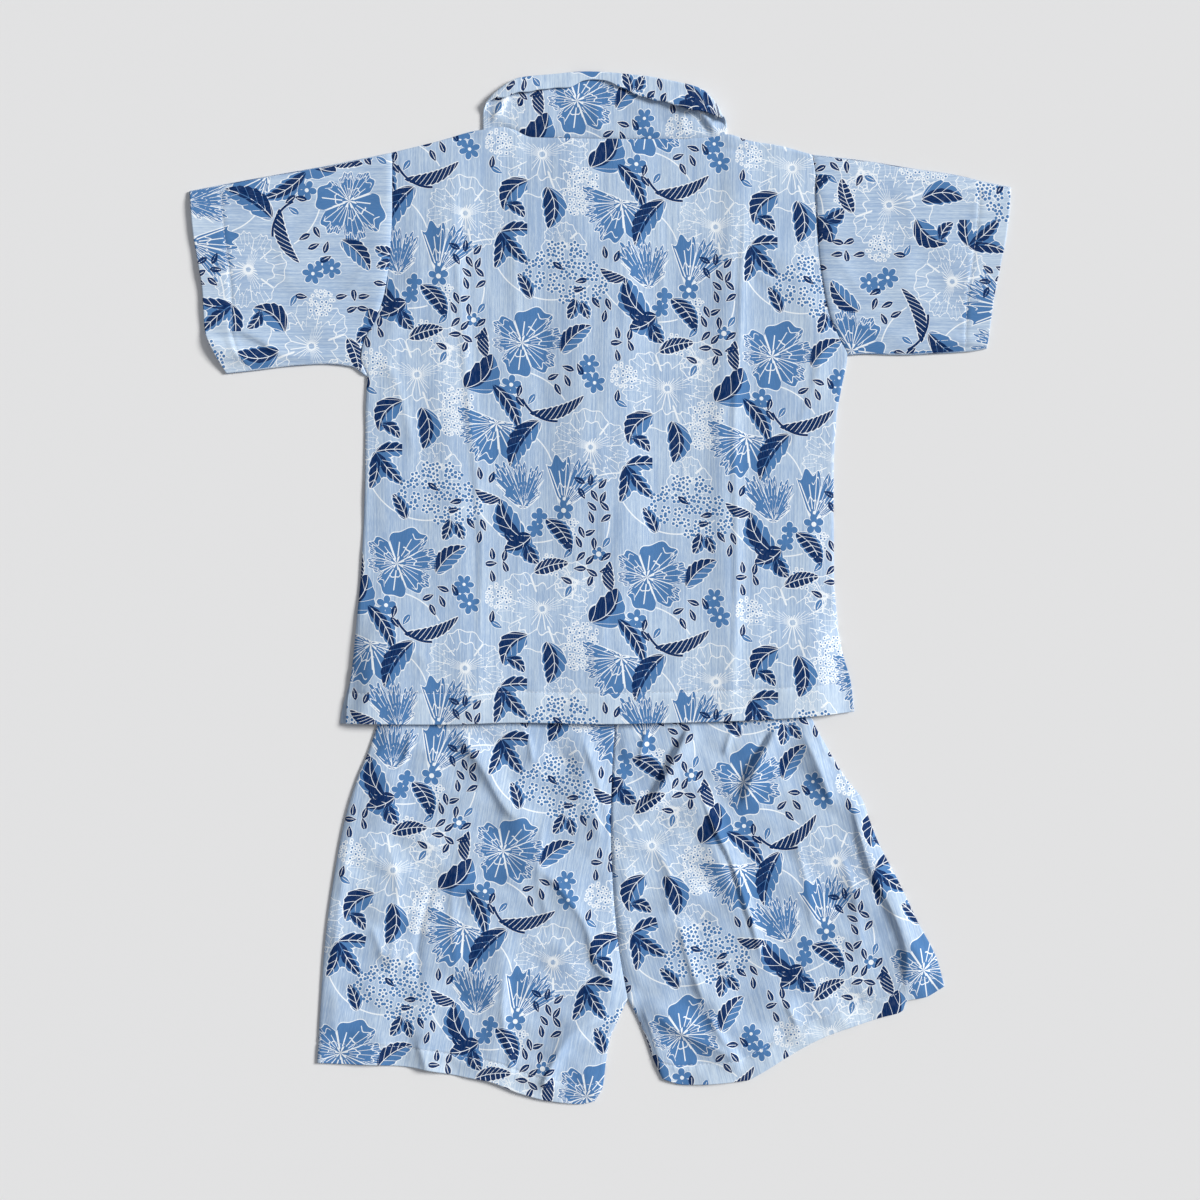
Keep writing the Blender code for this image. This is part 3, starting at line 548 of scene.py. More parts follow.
def add_node(tree, kind, inputs=(), **settings):
    """A shader node with its settings, and its inputs by name or in their order."""
    node = tree.nodes.new("ShaderNode" + kind)
    for name, value in settings.items():
        setattr(node, name, value)
    for key, value in inputs.items() if isinstance(inputs, dict) else enumerate(inputs):
        set_input(tree, node.inputs[key], value)
    return node


# Numbers in a material, written as formulas: each operation adds one Math node.
class Number:
    def __init__(self, tree, socket):
        self.tree, self.socket = tree, socket

    def apply(self, operation, *others):
        node = add_node(self.tree, "Math", (self, *others), operation=operation)
        return Number(self.tree, node.outputs[0])

    def __add__(self, other):
        return self.apply("ADD", other)

    def __sub__(self, other):
        return self.apply("SUBTRACT", other)

    def __mul__(self, other):
        return self.apply("MULTIPLY", other)

    def __truediv__(self, other):
        return self.apply("DIVIDE", other)

    def plus(self, factor, other):
        """self * factor + other"""
        return self.apply("MULTIPLY_ADD", factor, other)

    def below(self, other):
        return self.apply("LESS_THAN", other)

    def above(self, other):
        return self.apply("GREATER_THAN", other)

    def larger(self, other):
        return self.apply("MAXIMUM", other)

    def smaller(self, other):
        return self.apply("MINIMUM", other)

    def power(self, other):
        return self.apply("POWER", other)

    def angle_of(self, other):
        return self.apply("ARCTAN2", other)

    def of(self, operation):
        return self.apply(operation)


# What one ink hides of another: a higher tone covers a lower one. Bare cloth is 0.
WHITE, BLUE, NAVY = 1.0, 2.0, 3.0
ANY_INK = 5.0
LINE = 0.72
FULL_TURN = 6.283
PLACE = ["X", "Y", "Cos", "Sin", "Minus sin", "Start u", "Start v"]


def make_group(name, titles, recipe):
    """A node group for a kind of motif: its recipe takes the motif's place and then its own numbers."""
    tree = bpy.data.node_groups.new(name, "ShaderNodeTree")
    for title in titles:
        tree.interface.new_socket(title, in_out="INPUT", socket_type="NodeSocketFloat")
    tree.interface.new_socket("Tone", in_out="OUTPUT", socket_type="NodeSocketFloat")
    source = tree.nodes.new("NodeGroupInput")
    numbers = [Number(tree, source.outputs[title]) for title in titles]
    result = recipe(numbers[:len(PLACE)], *numbers[len(PLACE):])
    sink = tree.nodes.new("NodeGroupOutput")
    tree.links.new(result.socket, sink.inputs["Tone"])
    return tree


def seen_from(x, y, cosine, sine, minus_sine, start_u, start_v):
    """The point in a motif's own directions: u along its turn, v across it."""
    return x.plus(cosine, y.plus(sine, start_u)), x.plus(minus_sine, y.plus(cosine, start_v))


def polar(u, v):
    return v.plus(v, u * u).of("SQRT"), v.angle_of(u)


def leaf_recipe(place, length, width, bend, half_pitch, navy, stripe, rib):
    """A pointed leaf: a navy middle in blue, white veins or slanting stripes, and a white outline."""
    u, v = seen_from(*place)
    t = u / length
    arch = t * t.plus(-1.0, 1.0)
    v = v - arch * bend
    off = v.of("ABSOLUTE")
    across = (v - off).plus(stripe, off)
    to_vein = across.plus(1.2, u * -1.0).apply("PINGPONG", half_pitch)
    half = arch.power(0.66) * width * t.plus(-1.0, 3.0) + to_vein * arch * 1.5
    vein = to_vein.below(LINE * 0.34).larger(off.below(rib))
    cosine, sine = place[2:4]
    aside = (cosine + sine) * 0.7
    middle = half * navy
    ink = (v - (half - middle) * aside).of("ABSOLUTE").below(middle) + BLUE
    inked = off.below(half) * ink.smaller(vein.plus(WHITE - ANY_INK, ANY_INK))
    rim = off.below(half + LINE) * half.above(0.03)
    return inked.larger(rim)


def flower_recipe(place, radius, petals, notch, sweep, lean, ragged, seed):
    """An open flower of uneven petals, or a part of one, with fine white lines and hatched rims."""
    u, v = seen_from(*place)
    r, angle = polar(u, v)
    warped = angle.plus(2.0, seed).of("SINE").plus(0.22, angle)
    spoke = (warped * petals * 0.5).of("COSINE").of("ABSOLUTE")
    frill = (warped * petals * 3.0 + seed).of("SINE")
    uneven = angle.plus(3.0, seed).of("SINE")
    longer = angle.of("COSINE").plus(lean, 1.0) + uneven * 0.07
    rim = radius * longer * (spoke.power(0.4) * notch + frill * ragged - notch + 1.0)
    aside = (sweep - angle.of("ABSOLUTE")) * r + 3.0
    share = r / rim
    across = r / (petals * LINE)
    between = (spoke * across).below(0.28) * share.above(0.16)
    ray = ((warped * petals * 2.0 + 0.4).of("SINE").of("ABSOLUTE") * across).below(0.66)
    reach = (warped * petals * 1.5 + seed).of("SINE").plus(0.16, 0.66) + ragged * 2.4
    vein = ray * share.below(reach) * share.above(0.22)
    held = (angle.plus(2.0, seed) + 1.4).of("SINE")
    hatch = ((warped * 36.0).of("SINE").of("ABSOLUTE") * r).below(7.4)
    hatch = hatch * share.above(0.78) * held.above(0.05)
    ring = (share - 0.84 - frill * 0.03).of("ABSOLUTE").below(0.014) * held.above(-0.5)
    inner = (share - 0.36 - spoke * 0.09).of("ABSOLUTE").below(0.016) * uneven.above(-0.35)
    heart = share.below(0.2) * (angle * 7.0).of("SINE").above(share * 6.0 - 0.6)
    lines = aside.below(LINE)
    for line in (between, vein, hatch, ring, inner, heart):
        lines = lines.larger(line)
    inked = share.below(1.0) * lines.plus(WHITE - BLUE, BLUE)
    return inked.larger(r.below(rim + LINE)) * aside.above(0.0)


def star_recipe(place, radius, petals, eye):
    """A small flower with round petals, a pale eye and a white outline."""
    u, v = seen_from(*place)
    r, angle = polar(u, v)
    spoke = (angle * petals * 0.5).of("COSINE").of("ABSOLUTE").power(0.6)
    rim = radius * spoke.plus(0.62, 0.38)
    inked = r.below(rim) * r.below(radius * eye).plus(WHITE - BLUE, BLUE)
    return inked.larger(r.below(rim + LINE * 0.9))


def line_flower_recipe(place, radius, petals, seed):
    """A large flower drawn in white lines only."""
    u, v = seen_from(*place)
    r, angle = polar(u, v)
    warped = angle.plus(2.0, seed).of("SINE").plus(0.25, angle)
    spoke = (warped * petals * 0.5).of("COSINE").of("ABSOLUTE")
    frill = (warped * petals * 4.0 + seed).of("SINE")
    rim = radius * (spoke.power(0.5).plus(0.26, 0.74) + frill * 0.03)
    second = (warped * petals * 0.5 + 0.9).of("COSINE").of("ABSOLUTE").power(0.5).plus(0.24, 0.46)
    share = r / rim
    across = r / (petals * LINE)
    outer = (r - rim).of("ABSOLUTE").below(LINE * 0.5)
    middle = (share - second - frill * 0.02).of("ABSOLUTE").below(0.016)
    fine = ((warped * petals * 2.5).of("SINE").of("ABSOLUTE") * across).below(0.72)
    split = (spoke * across).below(0.32) * share.above(0.5)
    reach = (warped * 3.0 + seed).of("SINE").plus(0.2, 0.36)
    rays = fine * (share.above(0.70) * frill.above(0.1)).larger(share.below(reach) * share.above(0.07))
    return outer.larger(middle).larger((rays.larger(split)) * share.below(1.0))


def stem_recipe(place, radius, sweep, half, ink):
    """An arc about a centre, as far as its sweep on both sides of the turn."""
    u, v = seen_from(*place)
    r, angle = polar(u, v)
    off = (r - radius).of("ABSOLUTE")
    there = angle.of("ABSOLUTE").below(sweep)
    return (off.below(half) * ink).larger(off.below(half + LINE * 0.4)) * there


# The motifs of one repeat, in millimetres from the middle of the large flower. cell says which of the
# four overlapping tilings holds it whole. Turns are degrees anticlockwise from the right.
Leaf = namedtuple("Leaf", "cell x y turn length width bend half_pitch navy stripe rib", defaults=(0, 0.26))
Flower = namedtuple("Flower", "cell x y turn radius petals notch sweep lean ragged seed")
Star = namedtuple("Star", "cell x y turn radius petals eye")
LineFlower = namedtuple("LineFlower", "cell x y turn radius petals seed")
Stem = namedtuple("Stem", "cell x y turn radius sweep half ink")
Patch = namedtuple("Patch", "x y radius")

LEAVES = [
    Leaf(0, 25, -7, 43, 31, 6.2, 12, 3.2, 0.56),
    Leaf(0, -46, -37, 52, 33, 10.5, -24, 5.6, 0.59),
    Leaf(0, -31, -13, 92, 22, 3.8, 7, 1.9, 1.0, 1, -1.0),
    Leaf(0, -26, -33, -58, 38, 6.0, 14, 3.4, 0.63),
    Leaf(0, 1.5, -53, 20, 43, 3.9, -22, 2.2, 1.0, 1, -1.0),
    Leaf(1, 9, -58, -121, 42, 7.6, -17, 3.8, 0.64),
    Leaf(1, 94, -49, -128, 30, 7.6, -22, 3.6, 0.61),
    Leaf(1, 77, -67, -34, 17, 4.4, 10, 2.8, 0.78),
    Leaf(2, 108, -53, -88, 31, 8.0, 19, 3.8, 0.61),
    Leaf(1, 73, -88, 4, 28, 4.8, 7, 3.4, 0.61),
    Leaf(1, 73, -88, -48, 31, 5.4, -5, 3.4, 0.61),
    Leaf(1, 73, -88, -98, 28, 5.0, 12, 3.4, 0.61),
    Leaf(2, 89, 23, 120, 32, 9.0, 19, 4.6, 0.54),
    Leaf(2, 73, 50, 160, 20, 3.4, 10, 1.8, 1.0, 1, -1.0),
    Leaf(2, 96, 25, -150, 23, 7.4, 10, 3.8, 0.66),
    Leaf(2, 92, 19, -58, 17, 6.0, -7, 3.0, 0.70),
    Leaf(2, 107, 38, -52, 30, 6.4, 14, 2.3, 0.78, 0.6, 0.26),
    Leaf(2, 98, -2, 18, 27, 4.6, 7, 1.9, 1.0, 0.5, 0.26),
    Leaf(0, 3, 32, 118, 21, 4.6, -5, 2.8, 0.70),
    Leaf(0, 36, 34, -108, 17, 4.4, 5, 2.6, 0.70),
    Leaf(0, 40, 32, -66, 14, 3.8, 0, 2.6, 0.70),
]
FLOWERS = [
    Flower(0, -4, -1, 12, 26, 6, 0.42, 3.2, 0.18, 0.045, 0.5),
    Flower(1, -23, -62, -104, 29, 7, 0.26, 1.65, 0.0, 0.06, 2.0),
    Flower(1, -3, -123, 98, 33, 10, 0.34, 0.66, 0.0, 0.07, 0.4),
    Flower(1, 27, -121, 74, 35, 11, 0.34, 0.60, 0.0, 0.08, 1.6),
    Flower(1, -3, -123, 94, 18, 8, 0.20, 0.85, 0.0, 0.04, 1.2),
]
STARS = [
    Star(0, -12, -32.6, 10, 7.4, 5, 0.20),
    Star(2, 120, 45, 22, 7.6, 5, 0.24),
    Star(2, 102, 40, 0, 6.0, 4, 0.0),
    Star(2, 99, 30, 30, 6.6, 5, 0.0),
    Star(0, -40, 14, 10, 5.4, 5, 0.36),
    Star(0, 46, -14, 0, 7.4, 6, 0.16),
    Star(0, 50, -28, 20, 8.0, 6, 0.16),
    Star(0, 43, -21, 40, 5.4, 5, 0.16),
]
LINE_FLOWERS = [
    LineFlower(2, 104, -29, 10, 33, 6, 0.4),
    LineFlower(1, 47, -76, 40, 28, 7, 1.7),
    LineFlower(3, -66, -96, 0, 17, 5, 2.2),
    LineFlower(2, 128, -8, 0, 15, 5, 1.1),
]
STEMS = [
    Stem(1, 20, -32, 240, 26, 0.62, 0.9, NAVY),
    Stem(0, 16, 76, 262, 44, 0.9, 0.2, WHITE),
    Stem(0, -8, -64, 60, 42, 0.5, 0.2, WHITE),
    Stem(1, -18, -100, 58, 38, 0.7, 0.2, WHITE),
    Stem(2, 96, 66, 250, 46, 0.7, 0.2, WHITE),
    Stem(1, 70, -146, 120, 52, 0.5, 0.2, WHITE),
    Stem(0, -76, 40, -30, 44, 0.5, 0.2, WHITE),
]

# How far apart the scattered small leaves, florets and dots are, and where they lie in the first tiling
SMALL_LEAF_PITCH = 9.4
FLORET_PITCH = 8.0
DOT_PITCH = 3.3
PETALS = 5
PETAL_OUT = 2.65
SMALL_LEAVES = [
    Patch(-48, 12, 19), Patch(-40, 40, 10), Patch(-42, 62, 14), Patch(34, -18, 7), Patch(25, -28, 8),
    Patch(-6, -44, 10), Patch(58, 26, 9), Patch(72, 8, 9), Patch(70, -8, 6), Patch(66, -40, 8),
    Patch(84, 24, 7), Patch(60, 68, 8), Patch(-62, -12, 6), Patch(24, 56, 7), Patch(40, 46, 6),
]
FLORETS = [
    Patch(26, 58, 19), Patch(44, 48, 15), Patch(12, 50, 13), Patch(30, 42, 13),
]
DOTS = [
    Patch(-52, -48, 12), Patch(-58, -62, 11), Patch(-64, 34, 9), Patch(72, -22, 10), Patch(-76, 4, 9),
]


def wrapped(x, y, shift_x, shift_y):
    """A point in the tiling's own cell, whose middle is the shift."""
    x, y = x - shift_x, y - shift_y
    row = y.apply("WRAP", ROW / 2, -ROW / 2)
    across = (y - row).plus(-REPEAT / 2 / ROW, x).apply("WRAP", REPEAT / 2, -REPEAT / 2)
    return across + shift_x, row + shift_y


def vector(tree, x, y):
    return add_node(tree, "CombineXYZ", (x, y)).outputs[0]


def split(tree, socket):
    parts = add_node(tree, "SeparateXYZ", [socket])
    return Number(tree, parts.outputs[0]), Number(tree, parts.outputs[1])


def scattered(tree, x, y, pitch, randomness, patches):
    """Cells of about a pitch: the place in the nearest one, its chance, and whether a patch holds it."""
    at = {"Vector": vector(tree, x / pitch, y / pitch), "Scale": 1.0, "Randomness": randomness}
    cells = add_node(tree, "TexVoronoi", at, voronoi_dimensions="2D")
    cell_x, cell_y = split(tree, cells.outputs["Position"])
    chance_a, chance_b = split(tree, cells.outputs["Color"])
    middle = vector(tree, cell_x * pitch, cell_y * pitch)
    kept = None
    for patch in patches:
        away = add_node(tree, "VectorMath", (middle, (patch.x, patch.y, 0.0)), operation="DISTANCE")
        held = Number(tree, away.outputs["Value"]).below(patch.radius)
        kept = held if kept is None else kept.larger(held)
    return x - cell_x * pitch, y - cell_y * pitch, chance_a, chance_b, kept


def small_leaves(tree, x, y):
    """Small pointed leaves, each turned its own way, navy or blue with a pale slit and outline."""
    dx, dy, chance_a, chance_b, kept = scattered(tree, x, y, SMALL_LEAF_PITCH, 0.5, SMALL_LEAVES)
    turn = chance_a * FULL_TURN
    cosine, sine = turn.of("COSINE"), turn.of("SINE")
    u, v = dx.plus(cosine, dy * sine), dy.plus(cosine, dx * sine * -1.0)
    t = u / 4.9
    half = (t * t).plus(-2.1, 2.1) * t.plus(-0.35, 1.0)
    off = v.of("ABSOLUTE")
    slit = (v - 0.3).of("ABSOLUTE").below(0.2) * t.of("ABSOLUTE").below(0.6)
    ink = chance_b.above(0.80).plus(BLUE - NAVY, NAVY).smaller(slit.plus(WHITE - ANY_INK, ANY_INK))
    inked = off.below(half) * ink
    return inked.larger(off.below(half + 0.45) * half.above(0.0)) * kept


def florets(tree, x, y):
    """Flower heads of small florets, each of five round blue petals with white rims round an eye."""
    dx, dy, chance_a, chance_b, kept = scattered(tree, x, y, FLORET_PITCH, 0.45, FLORETS)
    r, angle = polar(dx, dy)
    share = 2.0 * math.pi / PETALS
    turned = ((angle + chance_a * FULL_TURN) / share).of("FRACT").plus(share, -share / 2)
    along, across = r * turned.of("COSINE") - PETAL_OUT, r * turned.of("SINE")
    away = (along * along).plus(1.0, across * across)
    petal = away.below(chance_b.plus(0.5, 1.2)).larger(r.below(0.6))
    rim = away.below(2.7).larger(r.below(1.1))
    return (petal * BLUE).larger(rim) * kept


def dots(tree, x, y):
    """Pale heads of tiny florets with blue eyes."""
    dx, dy, chance_a, chance_b, kept = scattered(tree, x, y, DOT_PITCH, 0.6, DOTS)
    r, angle = polar(dx, dy)
    eye = r.below(chance_a.plus(0.5, 0.28))
    pale = r.below(1.55) * (angle * 2.5 + chance_b).of("COSINE").of("ABSOLUTE").above(0.25)
    return (eye * BLUE).larger(pale) * kept


def motif_place(motif, cells):
    """A motif's tiling and its turn and start, as seen_from() takes them."""
    cell_x, cell_y = cells[motif.cell]
    cosine, sine = math.cos(math.radians(motif.turn)), math.sin(math.radians(motif.turn))
    start_u = -motif.x * cosine - motif.y * sine
    start_v = motif.x * sine - motif.y * cosine
    return cell_x, cell_y, cosine, sine, -sine, start_u, start_v


def print_tone(tree, x, y):
    """The ink at each point of the cloth, as a tone."""
    cells = [
        wrapped(x, y, 0.0, 0.0),
        wrapped(x, y, 0.0, -ROW / 2),
        wrapped(x, y, REPEAT / 2, 0.0),
        wrapped(x, y, -REPEAT / 2, -ROW / 2),
    ]
    tone = small_leaves(tree, *cells[0]).larger(florets(tree, *cells[0])).larger(dots(tree, *cells[0]))
    kinds = (
        ("line flower", LINE_FLOWERS, line_flower_recipe), ("stem", STEMS, stem_recipe),
        ("flower", FLOWERS, flower_recipe), ("star", STARS, star_recipe), ("leaf", LEAVES, leaf_recipe),
    )
    for name, motifs, recipe in kinds:
        group = make_group(name, PLACE + [title.capitalize() for title in motifs[0]._fields[4:]], recipe)
        for motif in motifs:
            node = add_node(tree, "Group", motif_place(motif, cells) + motif[4:], node_tree=group)
            tone = tone.larger(Number(tree, node.outputs[0]))
    return tone


GROUND = (0.350, 0.480, 0.680)
GROUND_PALE = (0.595, 0.712, 0.838)
INK_WHITE = (0.88, 0.93, 0.97)
INK_BLUE = (0.078, 0.203, 0.438)
INK_NAVY = (0.001, 0.023, 0.108)


def colour_node(tree, colour):
    node = add_node(tree, "RGB")
    node.outputs[0].default_value = (*colour, 1.0)
    return node.outputs[0]


def mix_colours(tree, share, first, second):
    sides = {"Factor": share, "A": first, "B": second}
    return add_node(tree, "Mix", sides, data_type="RGBA").outputs["Result"]


def noise(tree, vector, scale, stretch):
    """Noise over the cut cloth, stretched along one direction."""
    grain = add_node(tree, "Mapping", {"Vector": vector, "Scale": (*stretch, 1.0)})
    look = {"Vector": grain.outputs[0], "Scale": scale, "Detail": 2.0}
    return Number(tree, add_node(tree, "TexNoise", look, noise_dimensions="2D").outputs[0])


def new_material(name, look):
    """A material whose shader's own numbers are set, with its tree and its shader."""
    material = bpy.data.materials.new(name)
    material.use_nodes = True
    shader = material.node_tree.nodes["Principled BSDF"]
    for title, value in look.items():
        shader.inputs[title].default_value = value
    return material, material.node_tree, shader


def cotton(name, printed):
    """Plain-weave cotton with slubs along its length, with or without the print."""
    material, tree, shader = new_material(name, {
        "Roughness": 0.82, "Specular IOR Level": 0.06, "Sheen Weight": 0.02, "Sheen Roughness": 0.5,
    })
    cut = add_node(tree, "UVMap", uv_map="cut").outputs[0]
    x, y = (place * (1.0 / MM) for place in split(tree, cut))
    slub = noise(tree, cut, 780.0, (1.0, 0.035))
    fleck = noise(tree, cut, 1500.0, (1.0, 0.14))
    cloud = noise(tree, cut, 26.0, (1.0, 0.6))
    # The mark read here pales the ground: on hems and the waistband it stands for doubled cloth, on the
    # collar's fall it is a painted highlight.
    doubled_and_lit = Number(tree, add_node(tree, "Attribute", attribute_name="double_and_lit").outputs["Fac"])
    streak = (slub - 0.5) * 1.7 + (fleck - 0.5) * 1.1
    share = (doubled_and_lit * 0.45 + streak + (cloud - 0.5) * 0.9 + 0.36).larger(0.0).smaller(1.0)
    colour = mix_colours(tree, share, colour_node(tree, GROUND), colour_node(tree, GROUND_PALE))
    if printed:
        tone = print_tone(tree, x, y)
        ink = mix_colours(tree, tone.above(1.5), colour_node(tree, INK_WHITE), colour_node(tree, INK_BLUE))
        ink = mix_colours(tree, tone.above(2.5), ink, colour_node(tree, INK_NAVY))
        cover = tone.above(0.5) * (fleck - 0.5).plus(0.2, 0.985).smaller(1.0)
        colour = mix_colours(tree, cover, colour, ink)
    weave = slub * 0.6 + fleck * 0.4
    bump = add_node(tree, "Bump", {"Strength": 0.55, "Distance": 0.25 * MM, "Height": weave})
    tree.links.new(colour, shader.inputs["Base Color"])
    tree.links.new(bump.outputs[0], shader.inputs["Normal"])
    return material


def plain_material(name, colour, roughness, grain):
    """One colour with darker specks."""
    material, tree, shader = new_material(name, {"Roughness": roughness})
    place = add_node(tree, "TexCoord").outputs["Object"]
    speck = add_node(tree, "TexNoise", {"Vector": place, "Scale": 900.0})
    shade = Number(tree, speck.outputs[0]) * grain
    darker = colour_node(tree, tuple(0.75 * c for c in colour))
    tree.links.new(mix_colours(tree, shade, colour_node(tree, colour), darker), shader.inputs["Base Color"])
    return material


def add_object(name, data):
    thing = bpy.data.objects.new(name, data)
    bpy.context.scene.collection.objects.link(thing)
    return thing


def turned_cut(anchor_x, anchor_y, degrees, skew=0.0):
    """From a place on the laid garment to a place on the printed cloth, whose up is turned by degrees.
    skew is how far the rows of the print run down across the piece."""
    c, s = math.cos(math.radians(degrees)), math.sin(math.radians(degrees))
    return lambda x, y: ((x - anchor_x) * c + (y - anchor_y) * s,
                         (y - anchor_y) * c - (x - anchor_x) * (s - skew))


CUT_SHIRT = turned_cut(-54.0, 183.0, 0.0, 0.055)
CUT_SLEEVE_LEFT = turned_cut(-185.5, 283.7, -90.0)
CUT_SLEEVE_RIGHT = turned_cut(186.0, 180.8, 90.0)
CUT_LEG_LEFT = turned_cut(-68.0, -195.4, -10.0)
CUT_LEG_RIGHT = turned_cut(110.3, -142.5, 15.0)


def lay_cloth(name, x, y, z, cut, double_and_lit, closed=False, offset=-1.0, face_down=False, lined=False):
    """A shell of cloth through a grid of points, with the place on the cut cloth as its UV map."""
    rows, columns = x.shape
    turns = columns if closed else columns - 1
    i, j = np.meshgrid(np.arange(rows - 1), np.arange(turns), indexing="ij")
    near, far = i * columns, (i + 1) * columns
    k = (j + 1) % columns
    quads = np.stack([near + j, near + k, far + k, far + j], axis=-1).reshape(-1, 4)
    if face_down:
        quads = quads[:, ::-1]
    points = np.stack([x, y, z], axis=-1).reshape(-1, 3) * MM
    mesh = bpy.data.meshes.new(name)
    mesh.vertices.add(len(points))
    mesh.vertices.foreach_set("co", points.astype(np.float32).ravel())
    mesh.loops.add(quads.size)
    mesh.loops.foreach_set("vertex_index", quads.astype(np.int32).ravel())
    mesh.polygons.add(len(quads))
    mesh.polygons.foreach_set("loop_start", (np.arange(len(quads)) * 4).astype(np.int32))
    mesh.update(calc_edges=True)
    uv = np.stack(cut, axis=-1).reshape(-1, 2)[quads.ravel()] * MM
    mesh.uv_layers.new(name="cut").data.foreach_set("uv", uv.astype(np.float32).ravel())
    # The mark that pales the ground: doubled cloth at hems, a painted highlight on the collar's fall.
    mark = np.broadcast_to(double_and_lit, x.shape).astype(np.float32)
    mesh.attributes.new("double_and_lit", "FLOAT", "POINT").data.foreach_set("value", mark.ravel())
    mesh.materials.append(printed_cotton)
    mesh.materials.append(reverse_cotton)
    mesh.shade_smooth()
    thing = add_object(name, mesh)
    thick = thing.modifiers.new("thickness", "SOLIDIFY")
    thick.thickness = CLOTH * MM
    thick.offset = offset
    thick.material_offset = 0 if lined else 1
    return thing


def area_of(x, y):
    """The flat area of a grid of points, in square metres."""
    ax, ay = x[1:, 1:] - x[:-1, :-1], y[1:, 1:] - y[:-1, :-1]
    bx, by = x[:-1, 1:] - x[1:, :-1], y[:-1, 1:] - y[1:, :-1]
    return float(np.abs(ax * by - ay * bx).sum() / 2.0) * MM * MM


def dress(thing, nodes, area):
    """Attaches a piece of cloth to the root and hides the solids it stands for. area, the size it was cut
    to, is not used.
    """
    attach(thing, "root")
    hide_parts(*nodes)


def stitch_row(form, start, end, samples=400):
    """Stitches along a line on a form: their middles and directions."""
    share = np.linspace(0.0, 1.0, samples)
    u = start[0] + (end[0] - start[0]) * share
    v = start[1] + (end[1] - start[1]) * share
    points = np.stack(form(u, v), axis=-1)
    along = np.concatenate([[0.0], np.cumsum(np.linalg.norm(np.diff(points, axis=0), axis=1))])
    middles = np.arange(STITCH_PITCH / 2, along[-1], STITCH_PITCH)
    place_on = lambda d: np.stack([np.interp(d, along, points[:, c]) for c in range(3)], axis=-1)
    ahead = place_on(middles + 0.4) - place_on(middles - 0.4)
    return place_on(middles), ahead / np.maximum(np.linalg.norm(ahead, axis=1), 1e-6)[:, None]


def make_stitches(name, rows, lift=0.1):
    """All the stitches of a piece as one mesh: each a thread that dives in at both ends."""
    centres = np.concatenate([r[0] for r in rows])
    ways = np.concatenate([r[1] for r in rows])
    sides = np.cross(ways, (0.0, 0.0, 1.0))
    sides /= np.linalg.norm(sides, axis=1)[:, None]
    ups = np.cross(sides, ways)
    points, faces, corners = [], [], STITCH_CORNERS
    for along, girth, sink in STITCH_RINGS:
        for c in range(corners):
            angle = 2.0 * math.pi * c / corners
            points.append(centres + ways * along * STITCH_LENGTH
                          + sides * (math.cos(angle) * girth * STITCH_WIDTH / 2)
                          + ups * (math.sin(angle) * girth * STITCH_WIDTH / 2 + sink + lift))
    points = np.stack(points, axis=1)
    per = len(STITCH_RINGS) * corners
    for r in range(len(STITCH_RINGS) - 1):
        for c in range(corners):
            d = (c + 1) % corners
            faces.append((r * corners + c, r * corners + d, (r + 1) * corners + d, (r + 1) * corners + c))
    ends = [tuple(reversed(range(corners))), tuple(range(per - corners, per))]
    mesh = bpy.data.meshes.new(name)
    every = [tuple(k * per + i for i in face) for k in range(len(centres)) for face in faces + ends]
    mesh.from_pydata((points.reshape(-1, 3) * MM).tolist(), [], every)
    mesh.materials.append(thread)
    mesh.shade_smooth()
    thing = add_object(name, mesh)
    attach(thing, "root")
    return thing


def make_shirt_back():
    patch = panel(side(HEM), side(BACK_TOP), side(SIDE_LEFT), side(SIDE_RIGHT))
    width, height = length_of(HEM), length_of(SIDE_LEFT)
    vent, armhole = VENT_HEIGHT / height, share_of(SIDE_LEFT, len(BODY_LEFT))
    row = SHIRT_HEM - STITCH_INSET

    def form(u, v):
        x, y = patch(u, v)
        lap = lap_step(x) * ease((x + LAP_SLOPE_END) / LAP_SLOPE)
        z = waist_lift(x, y, BACK_SPREAD) + button_lift(x, y) + lap + LAYER + SOLID_WALL + puff(u, v)
        z = z + fold_heights(x, y, SHIRT_FOLDS) + SHIRT_CREASING * crease_heights(x, y, SHIRT_CREASES)
        z = z + 0.30 * ripple(x, y, 3, 52.0) + 0.16 * ripple(x * 2.4, y * 0.6, 4, 34.0)
        sewn = ease((v - vent) / 0.02) * (1.0 - (1.0 - ARMHOLE_DIP) * ease((v - armhole) / 0.03))
        z = z + sewn * seam_dip(np.minimum(u, 1.0 - u) * width) + 0.6 * seam_dip((1.0 - v) * height)
        return x, y, z + hem_band(v * height, SHIRT_HEM, x, y, 5)

    u, v = np.meshgrid(stations(width, GRID), stations(height, GRID, [row]))
    x, y, z = form(u, v)
    thing = lay_cloth("shirt_back_cloth", x, y, z, CUT_SHIRT(x, y), hem_tone(SHIRT_HEM / height, v, 0.004))
    line = stitch_row(form, (0.01, row / height), (0.99, row / height))
    stitches = make_stitches("shirt_back_stitches", [line])
    dress(thing, ["shirt_back"], area_of(x, y))


